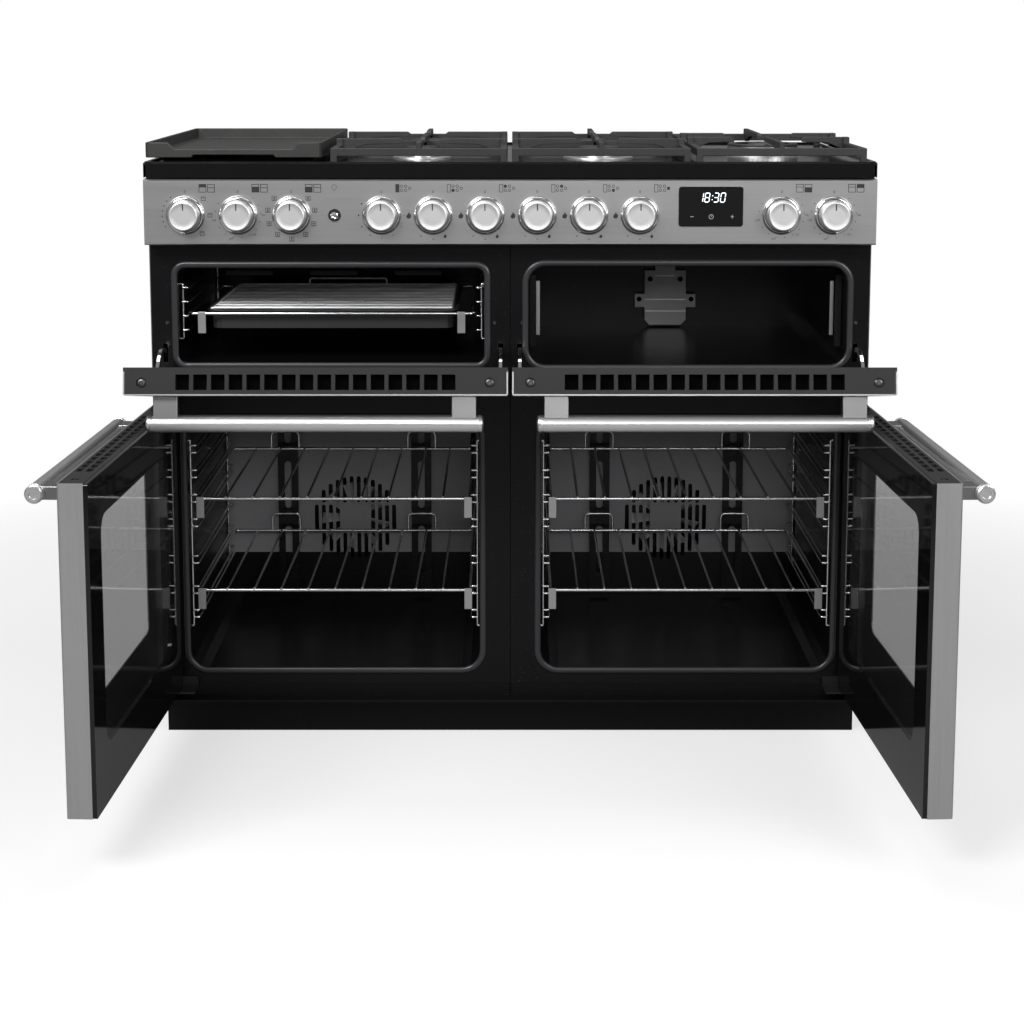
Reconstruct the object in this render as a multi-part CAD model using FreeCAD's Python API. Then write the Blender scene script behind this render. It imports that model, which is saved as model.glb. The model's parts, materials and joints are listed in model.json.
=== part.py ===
"""Range cooker with two tall ovens, a grill cavity and a small upper oven.

Millimetres. +X is right as seen from the front, +Y goes back, +Z is up.
The origin is on the floor, at the centre of the cabinet between the oven front and the back panel.
The doors are modelled as they stand in use for loading: lower doors wide open, upper doors dropped.
"""
import FreeCAD
import Part
import math
import os

V = FreeCAD.Vector
RIGHT, BACK, UP = V(1, 0, 0), V(0, 1, 0), V(0, 0, 1)

# ---- cabinet -------------------------------------------------------------------------------
cabinet_width = 1100.0
cabinet_depth = 560.0          # from the oven front to the back panel
half = cabinet_width / 2
sheet = 1.5                    # outer sheet steel
enamel_wall = 1.5              # oven liner wall
plinth_height = 62.0
plinth_setback = 20.0
plinth_board = 6.0
plinth_side_inset = 8.0
foot_radius, foot_pad, foot_stem, foot_nut = 20.0, 8.0, 5.0, 6.0
foot_inset = 65.0
base_plate = 2.0
rail_sheet = 3.0               # folded rails of the base frame
ledge_reach = 30.0             # how far the base ledge stands out in front
ledge_lip = 4.0
front_frame_bottom = 83.0
front_frame_split = 534.0      # where the upper and lower front frames meet
panel_bottom = 778.0
panel_top = 877.0
panel_depth = 38.0
panel_edge = 2.0
cabinet_top = panel_top + 2.0

# ---- hob -----------------------------------------------------------------------------------
hob_overhang = 1.5
hob_rim = 24.0
hob_corner = 12.0
hob_sheet = 2.0
hob_dish = 3.0                 # how far the cooking surface lies under the rim
hob_border = 8.0
hob_rim_chamfer = 3.0
dish_corner = 18.0
support_bar = 10.0
support_bar_height = 12.0
hob_top = cabinet_top + hob_rim
cooking_surface = hob_top - hob_dish
support_top = cooking_surface + 30.0
support_rail_top = cooking_surface + 21.0
support_front = 6.0            # behind the oven front
support_length = cabinet_depth - 70.0
support_spans = ((-half / 2 + 2.0, -5.0), (3.0, half / 2 - 1.0), (half / 2 + 8.0, half - 9.0))
wok_finger_offset = 70.0
finger_thick = 8.0
finger_reach = 30.0            # bare circle left over each burner
block_length = 18.0
burner_front = 130.0
burner_rear = cabinet_depth - 188.0
burner_middle = (burner_front + burner_rear) / 2
small_burner = 27.0
large_burner = 36.0
wok_burner = 60.0
burner_sides = 12
throat_sides = 8
throat_share = 0.7             # of the crown radius
dish_spread = 20.0             # the spill dish stands out this far round the crown
cap_height = 5.0
wok_cap_height = 4.0
wok_cap_radius = 24.0
crown_height = 13.0
griddle_left, griddle_right = -half - 3.0, -half / 2 - 10.0
griddle_front, griddle_back = 0.0, cabinet_depth - 56.0
griddle_base = cooking_surface + 7.0
griddle_top = griddle_base + 23.0
griddle_wall = 5.0
griddle_floor = 6.0
griddle_corner = 8.0
griddle_lip_drop = 10.0        # the front wall is this much lower between its ends
griddle_lip_inset = 34.0
griddle_under_rise = 4.0
griddle_under_inset = 70.0
griddle_foot = 7.0
zone_thick = 4.0               # ceramic glass under the griddle
zone_overlap = 8.0
zone_left_inset, zone_right_inset = 24.0, 14.0
zone_front, zone_back = 22.0, 12.0
zone_radius = 90.0
zone_depth = 16.0

# ---- cavities, as openings in the oven front ---------------------------------------------------
oven_centre = half / 2 - 1.25
oven_opening = half - 98.0
oven_floor, oven_roof = 109.5, 504.0
oven_corner = 28.0
rear_space = 92.0              # behind the ovens, for the fan motors
oven_depth = cabinet_depth - rear_space
grill_left, grill_right = -half + 42.0, -40.0
grill_floor, grill_roof = 593.5, 739.4
grill_corner = 12.0
upper_oven_left, upper_oven_right = 28.0, half - 35.0
upper_oven_floor, upper_oven_roof = 590.0, 742.0
upper_oven_corner = 26.0
upper_depth = cabinet_depth - 130.0
seal_width = 10.0
seal_proud = 3.4

# ---- oven fittings -------------------------------------------------------------------------------
fan_room = 38.0                # between the slotted rear panel and the liner's back wall
baffle_back = oven_depth - fan_room
baffle_sheet = 1.5
fan_height = 248.0
fan_radius = 62.0
fan_depth = 20.0
fan_blades = 16
fan_blade = 1.5
fan_blade_reach = 18.0
fan_blade_rake = 28.0
fan_setback = 5.0              # behind the rear panel
fan_slot_pitch = 14.8
fan_slot_width = 8.8
fan_slot_radius = 74.0
fan_slot_middle = 25.0         # half the height of the middle row of slots
fan_slot_bridge = 5.0
duct_width = 35.0
duct_depth = 9.0
duct_offset = 117.0
duct_vents = 3
duct_vent_width, duct_vent_height, duct_vent_pitch = 18.0, 84.0, 116.0
motor_radius = 38.0
motor_length = rear_space - 26.0
motor_plate = 6.0
motor_sides = 12
shaft_radius = 4.0
running_gap = 0.05
rack_wire = 2.0
rung_gap = 11.5
rung_heights = (188.3, 226.6, 275.2, 333.8, 372.6, 411.7, 450.7)
rack_front, rack_back = 14.0, baffle_back - 12.0
rack_back_upright = rack_back - 8.0
rack_below, rack_above = 20.0, 22.0
rung_offset = oven_opening / 2 - 13.0
rung_overhang = 6.0            # rungs run on past the front upright
shelf_wire = 3.0
shelf_bar_wire = 2.2
wire_sides = 4                 # thin wires are drawn square
corner_steps = 3               # flats round a corner
shelf_levels = (rung_heights[1], rung_heights[4])
shelf_depth = baffle_back - 30.0
shelf_front = 5.0
shelf_bars = 9
seat_gap = 0.3
plate_width, plate_height, plate_thick = 12.0, 33.0, 2.0
plate_inset = 3.0
hoop_width, hoop_rise, hoop_inset = 48.0, 30.0, 92.0
element_wire = 3.4
coil_gap = 16.0                # from the fan to the ring element round it
coil_sides = 16
grill_element_inset = 70.0
grill_element_turns = 5
bracket_stand = 14.0           # of the small oven's folded bracket, off the rear wall
bracket_half, head_half = 47.0, 26.0
bracket_low, bracket_shoulder, bracket_high = 600.0, 672.0, 708.0
strip_setback, strip_gap, strip_width = 56.0, 12.0, 6.0
strip_low, strip_high = 628.0, 713.0
grid_bars = 17
grill_rungs = 4
grill_rung_low = 640.5
grill_rung_pitch = 22.0
grill_rack_inset = 12.0
grill_set_front, grill_set_back = 6.0, upper_depth - 64.0
grill_side_gap = 13.5
grill_half = (grill_right - grill_left) / 2
grill_plate_offset = grill_half - 35.0
pan_half, pan_depth, pan_wall = grill_half - 48.0, 27.0, 2.0
pan_corner = 16.0
pan_brim, pan_brim_thick = 8.0, 1.5
pan_end_gap = 14.0
grid_half, grid_wire = pan_half, 2.0
grid_length = upper_depth - 120.0
grid_hoop_half, grid_hoop_rise = 65.0, 10.0

# ---- doors ---------------------------------------------------------------------------------------
door_thick = 40.0
door_gap = 4.0                 # between the oven front and a closed door
door_inner = 6.0               # inner panel or inner glass
door_sheet = 2.0
door_side_gap = 0.5
centre_gap = 6.0
pivot_depth = 30.0             # hinge axis in front of the oven front
lower_door_bottom, lower_door_top = 82.0, 527.0
lower_pivot_inset = 12.0       # hinge axis from the cabinet side
lower_open_deg = 92.5
upper_door_bottom, upper_door_top = 540.0, 774.0
upper_pivot = 560.0
upper_open_deg = 79.8          # four degrees short of the stop, so that the handles clear the lower doors
hinge_pin = 4.0
vent_cap = 12.0
cap_slots = 16
cap_slot_width = 19.6
cap_slot_pitch = 25.2
window_hinge_side, window_free_side = 54.0, 34.0
window_bottom, window_top = 188.0, 476.0
door_edge = 2.0
lower_slot_start, lower_slot_depth, lower_well = 6.0, 21.0, 5.0
upper_slot_start, upper_slot_depth, upper_well = 8.0, 22.0, 7.0
foot_block = 46.0              # of a lower door, round its bottom hinge pin
stile_width, stile_depth = 14.0, 12.0
knuckle_block = 46.0
knuckle_depth = 26.0
window_corner = 14.0
pane_thick = 4.0
pane_overlap = 12.0
handle_radius = 12.5
handle_sides = 16
handle_reach = 40.0            # handle axis in front of the door face
handle_drop = 23.0             # below the door's top edge
handle_end_gap = 30.5          # from the door's side to the handle's end
handle_middle_gap = 5.0        # a little more at the middle of the cabinet
bracket_inset = 10.0
bracket_width, bracket_height = 35.0, 18.0
arm_radius = 57.0
arm_thick = 5.0
arm_band = 7.0
arm_steps = 8                  # flats along the arc of a hinge arm
arm_offsets = (14.5, half - 21.5)    # from the middle of the cabinet
lug_thick = 2.0
lug_height = 12.0
knuckle_half = 9.0
side_play = 0.6
hinge_plate = 3.0
hinge_gap = 0.6
hinge_reach = 48.0
hinge_tab = 14.0
screw_inset = 26.0             # of the cap's screws, from the door's sides
screw_well = 3.0

# ---- controls ------------------------------------------------------------------------------------
knob_height = panel_bottom + 45.0
knob_face = 22.0
knob_skirt = 24.0
knob_reach = 25.0
knob_root = 1.0                # bare gap between a knob and the panel
bezel_outer, bezel_inner, bezel_reach = 29.5, 25.2, 6.0
bezel_edge = 1.4               # width of a bezel's front edge
spindle = 3.0
spindle_play = 1.5
pointer_low, pointer_high, pointer_half, pointer_deep = 9.0, 19.0, 1.1, 0.8
knob_sides = 12
tap_setback = 14.0             # tap and switch bodies, in front of the oven front
tap_half, switch_half = 13.0, 22.0
switch_depth = 30.0
drawn_half = 550.0             # half the cabinet's width in the row of knob places
knob_places = {
    "knob_grill": -487.6, "knob_left_oven_heat": -408.3, "knob_left_oven_mode": -328.4,
    "knob_griddle_zone": -193.0, "knob_burner_1": -115.8, "knob_burner_2": -37.6,
    "knob_burner_3": 40.6, "knob_burner_4": 118.2, "knob_burner_5": 194.7,
    "knob_right_oven_heat": 407.2, "knob_upper_oven_heat": 485.4,
}
knobs = {name: x * half / drawn_half for name, x in knob_places.items()}
button_x = -263.7 * half / drawn_half
button_radius = 6.5
button_ring = 9.7
button_collar = 7.7
button_depth = 8.0
button_reach = 7.0
clock_x, clock_z = 301.0 * half / drawn_half, 836.0
clock_width, clock_height = 96.5, 60.0
clock_glass, clock_case = 2.0, 28.0
clock_corner = 4.0
clock_edge = 4.0
inlet_radius = 10.48
inlet_reach = 15.0
inlet_gap = 2.0                # its collar starts this far behind the rear panel
inlet_x = half - 35.0
rail_height = cabinet_top - 29.0
rail_setback = 40.0
rail_pipe = 8.0
rail_sides = 8
gland_x, gland_z, gland_radius = -half + 120.0, 640.0, 10.0
gland_wall, gland_reach = 5.0, 6.5
wall_hole_spacing, wall_hole_radius, wall_hole_z = 2 * half - 200.0, 4.5, 820.0
vent_width, vent_height, vent_pitch, vent_low = 200.0, 10.0, 30.0, 700.0
vent_rows = 3
vent_offset = half - 250.0
through = 9.0                  # cutters run this far past a wall

front = -cabinet_depth / 2
back = cabinet_depth / 2
face = front - panel_depth                     # front of the control panel
door_back = front - door_gap                   # inner face of a closed door
door_face = door_back - door_thick             # outer face of a closed door
pivot_y = front - pivot_depth
written = []


# ---- shape helpers -------------------------------------------------------------------------------
def block(x0, x1, y0, y1, z0, z1):
    return Part.makeBox(x1 - x0, y1 - y0, z1 - z0, V(x0, y0, z0))


def rod(start, end, radius):
    along = end.sub(start)
    return Part.makeCylinder(radius, along.Length, start, along)


def joined(shapes):
    whole = shapes[0].fuse(list(shapes[1:])) if len(shapes) > 1 else shapes[0]
    return whole.removeSplitter()


def less(shape, cutters):
    return shape.cut(list(cutters))


def edges_along(shape, axis):
    """The straight edges of a shape that run along an axis."""
    found = []
    for edge in shape.Edges:
        if len(edge.Vertexes) == 2 and isinstance(edge.Curve, (Part.Line, Part.LineSegment)):
            along = edge.Vertexes[1].Point.sub(edge.Vertexes[0].Point).normalize()
            if abs(along.dot(axis)) > 0.999:
                found.append(edge)
    return found


def prism(points, thickness):
    """A flat outline, given as points in order, pushed along a vector."""
    return Part.Face(Part.makePolygon([*points, points[0]])).extrude(thickness)


def ring_of_points(radius, sides, height=0.0):
    """The corners of a regular outline round the Z axis whose flats lie on the radius."""
    corner = radius / math.cos(math.pi / sides)
    turns = [(k + 0.5) * 2 * math.pi / sides for k in range(sides)]
    return [V(corner * math.cos(t), corner * math.sin(t), height) for t in turns]


def flatted_rod(start, end, radius, sides=wire_sides):
    """A thin wire, pin or pipe drawn with a few flats."""
    along = end.sub(start)
    shape = prism(ring_of_points(radius, sides), V(0, 0, along.Length))
    shape.Placement = FreeCAD.Placement(start, FreeCAD.Rotation(UP, along))
    return shape


def turned_form(start, direction, profile, sides):
    """A turned solid drawn with flats: profile gives (distance along, radius) in order."""
    rims = [ring_of_points(radius, sides, distance) for distance, radius in profile]
    outlines = [rims[0], rims[-1]]
    for low, high in zip(rims, rims[1:]):
        for k in range(sides):
            after = (k + 1) % sides
            outlines.append([low[k], low[after], high[after], high[k]])
    faces = [Part.Face(Part.makePolygon([*points, points[0]])) for points in outlines]
    shape = Part.makeSolid(Part.makeShell(faces))
    shape.Placement = FreeCAD.Placement(start, FreeCAD.Rotation(UP, direction))
    return shape


def soft_outline(a0, a1, b0, b1, radius):
    """The corners of a rectangle whose corners are rounded with a few flats."""
    places = []
    corners = ((a1 - radius, b1 - radius, 0), (a0 + radius, b1 - radius, 90),
               (a0 + radius, b0 + radius, 180), (a1 - radius, b0 + radius, 270))
    for ca, cb, turn in corners:
        for k in range(corner_steps + 1):
            angle = math.radians(turn + 90.0 * k / corner_steps)
            places.append((ca + radius * math.cos(angle), cb + radius * math.sin(angle)))
    return places


def opening(x0, x1, y0, y1, z0, z1, radius):
    """A block along Y with four rounded corners."""
    return prism([V(x, y0, z) for x, z in soft_outline(x0, x1, z0, z1, radius)], V(0, y1 - y0, 0))


def tray(x0, x1, y0, y1, z0, z1, radius):
    """An upright block with four rounded corners."""
    return prism([V(x, y, z0) for x, y in soft_outline(x0, x1, y0, y1, radius)], V(0, 0, z1 - z0))


def mirrored(shape):
    return shape.mirror(V(0, 0, 0), RIGHT)


def turned(shape, point, axis, degrees):
    shape = shape.copy()
    shape.rotate(point, axis, degrees)
    return shape


def save(name, *shapes):
    """Writes one node. Several shapes stay separate solids in it."""
    solids = [solid for shape in shapes for solid in shape.Solids]
    whole = solids[0] if len(solids) == 1 else Part.makeCompound(solids)
    whole.exportStep(f"parts/{name}.step")
    written.append(name)


# ---- cabinet -------------------------------------------------------------------------------------
def make_side_panels():
    left = block(-half, -half + sheet, front, back, plinth_height, cabinet_top)
    hem = block(-half, -half + 12.0, back - 2 * sheet, back - sheet, oven_floor, cabinet_top)
    left = joined([left, hem])
    save("side_panels", left, mirrored(left))


def through_back(x, z, radius):
    """A round hole through the rear panel."""
    return rod(V(x, back - through, z), V(x, back + through, z), radius)


def make_rear_panel():
    inner = half - sheet
    panel = block(-inner, inner, back - sheet, back, plinth_height, cabinet_top)
    gland = V(gland_x, back, gland_z)
    boss = rod(gland, gland.add(BACK * gland_reach), gland_radius + gland_wall)
    holes = [through_back(gland_x, gland_z, gland_radius)]
    holes.append(through_back(inlet_x, rail_height, rail_pipe / math.cos(math.pi / rail_sides) + seat_gap))
    for x in (-wall_hole_spacing / 2, wall_hole_spacing / 2):
        holes.append(through_back(x, wall_hole_z, wall_hole_radius))
    for row in range(vent_rows):
        z = vent_low + row * vent_pitch
        for x in (-vent_offset, 0.0, vent_offset):
            x0, x1 = x - vent_width / 2, x + vent_width / 2
            holes.append(block(x0, x1, back - through, back + through, z, z + vent_height))
    save("rear_panel", less(joined([panel, boss]), holes))


def make_base_frame():
    inner = half - sheet
    y0, y1 = front - ledge_reach, back - sheet
    plate = block(-inner, inner, y0, y1, plinth_height, plinth_height + base_plate)
    lip = block(-inner, inner, y0, y0 + base_plate, plinth_height, plinth_height + ledge_lip)
    rail_top = oven_floor - enamel_wall
    rail_front = front + enamel_wall + rail_sheet
    front_rail = block(-inner, inner, front + enamel_wall, rail_front, plinth_height, rail_top)
    rear_rail = block(-inner, inner, y1 - rail_sheet, y1, plinth_height, rail_top)
    cross = [block(x - rail_sheet, x + rail_sheet, rail_front, y1 - rail_sheet, plinth_height, rail_top)
             for x in (-oven_centre, oven_centre)]
    save("base_frame", joined([plate, lip, front_rail, rear_rail, *cross]))


def make_plinth():
    x = half - plinth_side_inset
    y0 = front + plinth_setback
    y1 = back - plinth_setback
    board = block(-x, x, y0, y0 + plinth_board, 0, plinth_height)
    sides = [block(a, a + plinth_board, y0, y1, 0, plinth_height) for a in (-x, x - plinth_board)]
    spine = block(-plinth_board / 2, plinth_board / 2, y0, y1, 0, plinth_height)
    save("plinth", joined([board, spine, *sides]))


def make_levelling_feet():
    feet = []
    for x in (-(half - foot_inset), half - foot_inset):
        for y in (front + foot_inset, back - foot_inset):
            pad = turned_form(V(x, y, 0), UP, [(0, foot_radius), (foot_pad, foot_radius - 5)], 8)
            stem = flatted_rod(V(x, y, foot_pad), V(x, y, plinth_height), foot_stem, 6)
            nut = flatted_rod(V(x, y, foot_pad), V(x, y, foot_pad + foot_nut), foot_stem + 4, 6)
            feet.append(joined([pad, stem, nut]))
    save("levelling_feet", *feet)


def make_control_panel():
    shell = block(-half, half, face, front, panel_bottom, panel_top)
    edges = [e for e in edges_along(shell, RIGHT) if e.BoundBox.YMax < face + 1]
    shell = shell.makeChamfer(panel_edge, edges)
    inner = half - sheet
    hollow = block(-inner, inner, face + sheet, front + 1, panel_bottom + sheet, panel_top - sheet)
    y0, y1 = face - 1, face + through
    holes = [flatted_rod(V(x, y0, knob_height), V(x, y1, knob_height), spindle + spindle_play)
             for x in knobs.values()]
    holes.append(flatted_rod(V(button_x, y0, knob_height), V(button_x, y1, knob_height),
                             button_collar, knob_sides))
    w, h = clock_width / 2 - clock_edge, clock_height / 2 - clock_edge
    holes.append(block(clock_x - w, clock_x + w, y0, y1, clock_z - h, clock_z + h))
    save("control_panel", less(shell, [hollow, *holes]))


def bezel(x):
    centre = V(x, face, knob_height)
    profile = [(0, bezel_outer), (bezel_reach, bezel_inner + bezel_edge)]
    ring = turned_form(centre, -BACK, profile, knob_sides)
    return less(ring, [flatted_rod(centre.add(BACK), centre.sub(BACK * through), bezel_inner, knob_sides)])


def make_bezels():
    rings = [bezel(x) for x in knobs.values()]
    centre = V(button_x, face, knob_height)
    collar = flatted_rod(centre, centre.add(BACK * button_depth), button_collar, knob_sides)
    flange = turned_form(centre, -BACK, [(0, button_ring), (3, button_ring - 1.5)], knob_sides)
    bore = flatted_rod(centre.sub(BACK * through), centre.add(BACK * through),
                       button_radius + running_gap, knob_sides)
    rings.append(less(joined([flange, collar]), [bore]))
    save("knob_bezels", *rings)


def knob(x):
    """A metal knob with a pointer groove at the top, on its spindle."""
    centre = V(x, face, knob_height)
    body = turned_form(centre.sub(BACK * knob_root), -BACK,
                       [(0, knob_skirt), (knob_reach - knob_root, knob_face)], knob_sides)
    stem_end = V(x, front - tap_setback - seat_gap, knob_height)
    stem = flatted_rod(centre.sub(BACK * (knob_root + 1)), stem_end, spindle)
    top = face - knob_reach
    groove = block(x - pointer_half, x + pointer_half, top - 1, top + pointer_deep,
                   knob_height + pointer_low, knob_height + pointer_high)
    return less(joined([body, stem]), [groove])


def make_knobs():
    for name, x in knobs.items():
        save(name, knob(x))


def make_lamp_button():
    centre = V(button_x, face + button_depth, knob_height)
    reach = button_depth + button_reach
    profile = [(0, button_radius), (reach - 1.5, button_radius), (reach, button_radius - 1.5)]
    save("lamp_button", turned_form(centre, -BACK, profile, knob_sides))


def make_clock():
    w, h = clock_width / 2, clock_height / 2
    glass = opening(clock_x - w, clock_x + w, face - clock_glass, face,
                    clock_z - h, clock_z + h, clock_corner)
    w, h = w - clock_edge - 1, h - clock_edge - 1
    case = block(clock_x - w, clock_x + w, face, face + clock_case, clock_z - h, clock_z + h)
    save("clock_module", joined([glass, case]))


def make_taps():
    """Gas taps on their rail with the supply pipe to the back, and the switches behind the other knobs."""
    rail_y = front + rail_setback
    pieces = []
    gas = [x for name, x in knobs.items() if name.startswith("knob_burner")]
    start = V(min(gas) - 30, rail_y, rail_height)
    corner = V(inlet_x, rail_y, rail_height)
    collar = V(inlet_x, back + inlet_gap, rail_height)
    outlet = collar.add(BACK * inlet_reach)
    parts = [flatted_rod(start, corner.add(RIGHT * rail_pipe), rail_pipe, rail_sides),
             flatted_rod(corner, outlet, rail_pipe, rail_sides), rod(collar, outlet, inlet_radius)]
    y0 = front - tap_setback
    for x in gas:
        parts.append(block(x - tap_half, x + tap_half, y0, rail_y, knob_height - tap_half, rail_height + 6))
    pieces.append(joined(parts))
    w = switch_half
    for name, x in knobs.items():
        if x not in gas:
            case = block(x - w, x + w, y0, y0 + switch_depth, knob_height - w, knob_height + w)
            foot = block(x - w / 2, x + w / 2, face + sheet, y0, knob_height - w, knob_height - w + 4)
            pieces.append(joined([case, foot]))
    save("taps_and_switches", *pieces)


# ---- hob -----------------------------------------------------------------------------------------
def burner_places():
    """Each burner as its centre and its crown radius."""
    left = sum(support_spans[0]) / 2
    middle = sum(support_spans[1]) / 2
    right = sum(support_spans[2]) / 2
    return [
        (left, front + burner_front, small_burner), (left, front + burner_rear, large_burner),
        (middle, front + burner_front, large_burner), (middle, front + burner_rear, small_burner),
        (right, front + burner_middle, wok_burner),
    ]


def make_hob():
    x = half + hob_overhang
    y0, y1 = face, back + sheet
    top = tray(-x, x, y0, y1, cabinet_top, hob_top, hob_corner)
    rim = [e for e in top.Edges if e.BoundBox.ZMin > hob_top - 0.1]
    top = top.makeChamfer(hob_rim_chamfer, rim)
    hollow = block(-x + hob_sheet, x - hob_sheet, y0 + hob_sheet, y1 - hob_sheet,
                   cabinet_top - 1, cooking_surface - hob_sheet)
    dish = tray(-x + hob_border, x - hob_border, y0 + hob_border, y1 - hob_border,
                cooking_surface, hob_top + 1, dish_corner)
    wells = []
    for bx, by, r in burner_places():
        foot = V(bx, by, cabinet_top)
        wells.append(flatted_rod(foot, foot.add(UP * hob_rim), r * throat_share, throat_sides))
    gx0, gx1 = griddle_left + zone_left_inset, griddle_right - zone_right_inset
    gy0, gy1 = front + zone_front, front + griddle_back - zone_back
    lap = zone_overlap
    glass = block(gx0 + lap, gx1 - lap, gy0 + lap, gy1 - lap, cabinet_top, hob_top)
    save("hob_top", less(top, [hollow, dish, glass, *wells]))
    pane = block(gx0, gx1, gy0, gy1, cooking_surface, cooking_surface + zone_thick)
    under = V((gx0 + gx1) / 2, (gy0 + gy1) / 2, cooking_surface - zone_depth)
    heater = flatted_rod(under, under.add(UP * zone_depth), zone_radius, burner_sides)
    save("ceramic_zone", pane, heater)


def burner_ring(x, y, low, high, outer, inner):
    """A flat ring of a burner, between two heights."""
    ring = flatted_rod(V(x, y, low), V(x, y, high), outer, burner_sides)
    return ring.cut(flatted_rod(V(x, y, low - 1), V(x, y, high + 1), inner, burner_sides))


def make_burners():
    bases, caps = [], []
    for x, y, r in burner_places():
        seat = V(x, y, cooking_surface)
        dish = turned_form(seat, UP, [(0, r + dish_spread), (3, r + dish_spread - 6)], burner_sides)
        crown = turned_form(seat, UP, [(0, r), (crown_height, r - 2)], burner_sides)
        throat = flatted_rod(V(x, y, cabinet_top - 12), seat, r * throat_share - seat_gap, throat_sides)
        base = joined([dish, crown, throat])
        top = cooking_surface + crown_height
        if r == wok_burner:
            # the wok burner's inner flame stands in a well in the middle of its crown
            base = base.cut(burner_ring(x, y, top - 6, top + 1, r - 16, wok_cap_radius + 2))
            wide = flatted_rod(V(x, y, top), V(x, y, top + wok_cap_height), wok_cap_radius, burner_sides)
            caps.append(wide)
            caps.append(burner_ring(x, y, top, top + wok_cap_height, r - 3, r - 14))
        else:
            profile = [(0, r - 3), (cap_height - 1.5, r - 3), (cap_height, r - 5)]
            caps.append(turned_form(V(x, y, top), UP, profile, burner_sides))
        bases.append(base)
    save("burner_bases", *bases)
    save("burner_caps", *caps)


def finger(root, tip, across):
    """A cast finger from a rail towards a burner: full height at the root, thin at its nose."""
    along = tip.sub(root)
    length = along.Length
    along = along.normalize()
    low, high = support_rail_top - support_bar_height, support_top
    outline = [(0, low), (0, high), (length - 4, high), (length, high - 3), (length, high - 8),
               (length * 0.45, high - 9.5), (length * 0.16, low + 2), (length * 0.12, low)]
    points = [V(root.x + along.x * s, root.y + along.y * s, z) for s, z in outline]
    shift = across * (-finger_thick / 2)
    return prism([p.add(shift) for p in points], across * finger_thick)


def pan_support(span, centres, bare):
    x0, x1 = span
    y0 = front + support_front
    y1 = y0 + support_length
    low = support_rail_top - support_bar_height
    bar = support_bar
    pieces = [
        block(x0, x1, y0, y0 + bar, low, support_rail_top),
        block(x0, x1, y1 - bar, y1, low, support_rail_top),
        block(x0, x0 + bar, y0, y1, low, support_rail_top),
        block(x1 - bar, x1, y0, y1, low, support_rail_top),
    ]
    middle = (x0 + x1) / 2
    if len(centres) == 2:
        split = sum(centres) / 2
        pieces.append(block(x0, x1, split - bar / 2, split + bar / 2, low, support_rail_top))
        runs = [(y0, centres[0] - bare), (split, centres[0] + bare),
                (split, centres[1] - bare), (y1, centres[1] + bare)]
    else:
        runs = [(y0, centres[0] - bare), (y1, centres[0] + bare)]
    for a, b in runs:
        pieces.append(finger(V(middle, a, 0), V(middle, b, 0), RIGHT))
    side_places = list(centres)
    if len(centres) == 1:
        side_places = [centres[0] - wok_finger_offset, centres[0] + wok_finger_offset]
    for y in side_places:
        reach = bare if len(centres) == 2 else bare + 12
        pieces.append(finger(V(x0, y, 0), V(middle - reach, y, 0), BACK))
        pieces.append(finger(V(x1, y, 0), V(middle + reach, y, 0), BACK))
        for x in (x0, x1 - bar):
            pieces.append(block(x, x + bar, y - block_length / 2, y + block_length / 2, low, support_top))
    for x in (x0, x1 - bar):
        for y in (y0, y1 - bar):
            pieces.append(block(x, x + bar, y, y + bar, cooking_surface, support_rail_top))
    return joined(pieces)


def make_pan_supports():
    two = (front + burner_front, front + burner_rear)
    save("pan_support_left", pan_support(support_spans[0], two, finger_reach))
    save("pan_support_middle", pan_support(support_spans[1], two, finger_reach))
    save("pan_support_right", pan_support(support_spans[2], (front + burner_middle,), finger_reach + 12))


def make_griddle():
    """A cast griddle plate: upright walls, a lowered pouring front and feet that stand on the glass."""
    x0, x1 = griddle_left, griddle_right
    y0, y1 = front + griddle_front, front + griddle_back
    wall = griddle_wall
    outer = tray(x0, x1, y0, y1, griddle_base, griddle_top, griddle_corner)
    inner = tray(x0 + wall, x1 - wall, y0 + wall, y1 - wall,
                 griddle_base + griddle_floor, griddle_top + 1, griddle_corner - 2)
    lip = griddle_top - griddle_lip_drop
    a, b = x0 + griddle_lip_inset, x1 - griddle_lip_inset
    slope = griddle_lip_drop + 1
    notch = prism([V(a, y0 - 1, griddle_top + 1), V(a + slope, y0 - 1, lip),
                   V(b - slope, y0 - 1, lip), V(b, y0 - 1, griddle_top + 1)], V(0, wall + 2, 0))
    a, b = x0 + griddle_under_inset, x1 - griddle_under_inset
    rise = griddle_base + griddle_under_rise
    under = prism([V(a, y0 - 1, griddle_base - 1), V(a + 3, y0 - 1, rise),
                   V(b - 3, y0 - 1, rise), V(b, y0 - 1, griddle_base - 1)], V(0, y1 - y0 + 2, 0))
    feet = []
    for x in (x0 + 50, x1 - 40):
        for y in (y0 + 50, y1 - 50):
            feet.append(flatted_rod(V(x, y, cooking_surface + zone_thick), V(x, y, griddle_base + 2),
                                    griddle_foot, 6))
    save("griddle", joined([less(outer, [inner, notch, under]), *feet]))


# ---- cavities ------------------------------------------------------------------------------------
def liner(x0, x1, z0, z1, corner, depth, frame, cutters=()):
    """An enamelled box with rounded corners, open at the front, on its flat front frame."""
    wall = enamel_wall
    fx0, fx1, fz0, fz1 = frame
    plate = block(fx0, fx1, front, front + wall, fz0, fz1)
    shell = opening(x0 - wall, x1 + wall, front, front + depth + wall, z0 - wall, z1 + wall, corner + wall)
    hollow = opening(x0, x1, front - 1, front + depth, z0, z1, corner)
    return less(joined([plate, shell]), [hollow, *cutters])


def arm_slot(x):
    """The opening in the front frame that a drop door's hinge arm runs through."""
    rise = math.sqrt(arm_radius ** 2 - pivot_depth ** 2)
    tall = arm_band + 7
    wide = arm_thick / 2 + 1
    z = upper_pivot + rise
    return block(x - wide, x + wide, front - 1, front + enamel_wall + 1, z - tall, z + tall)


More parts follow.
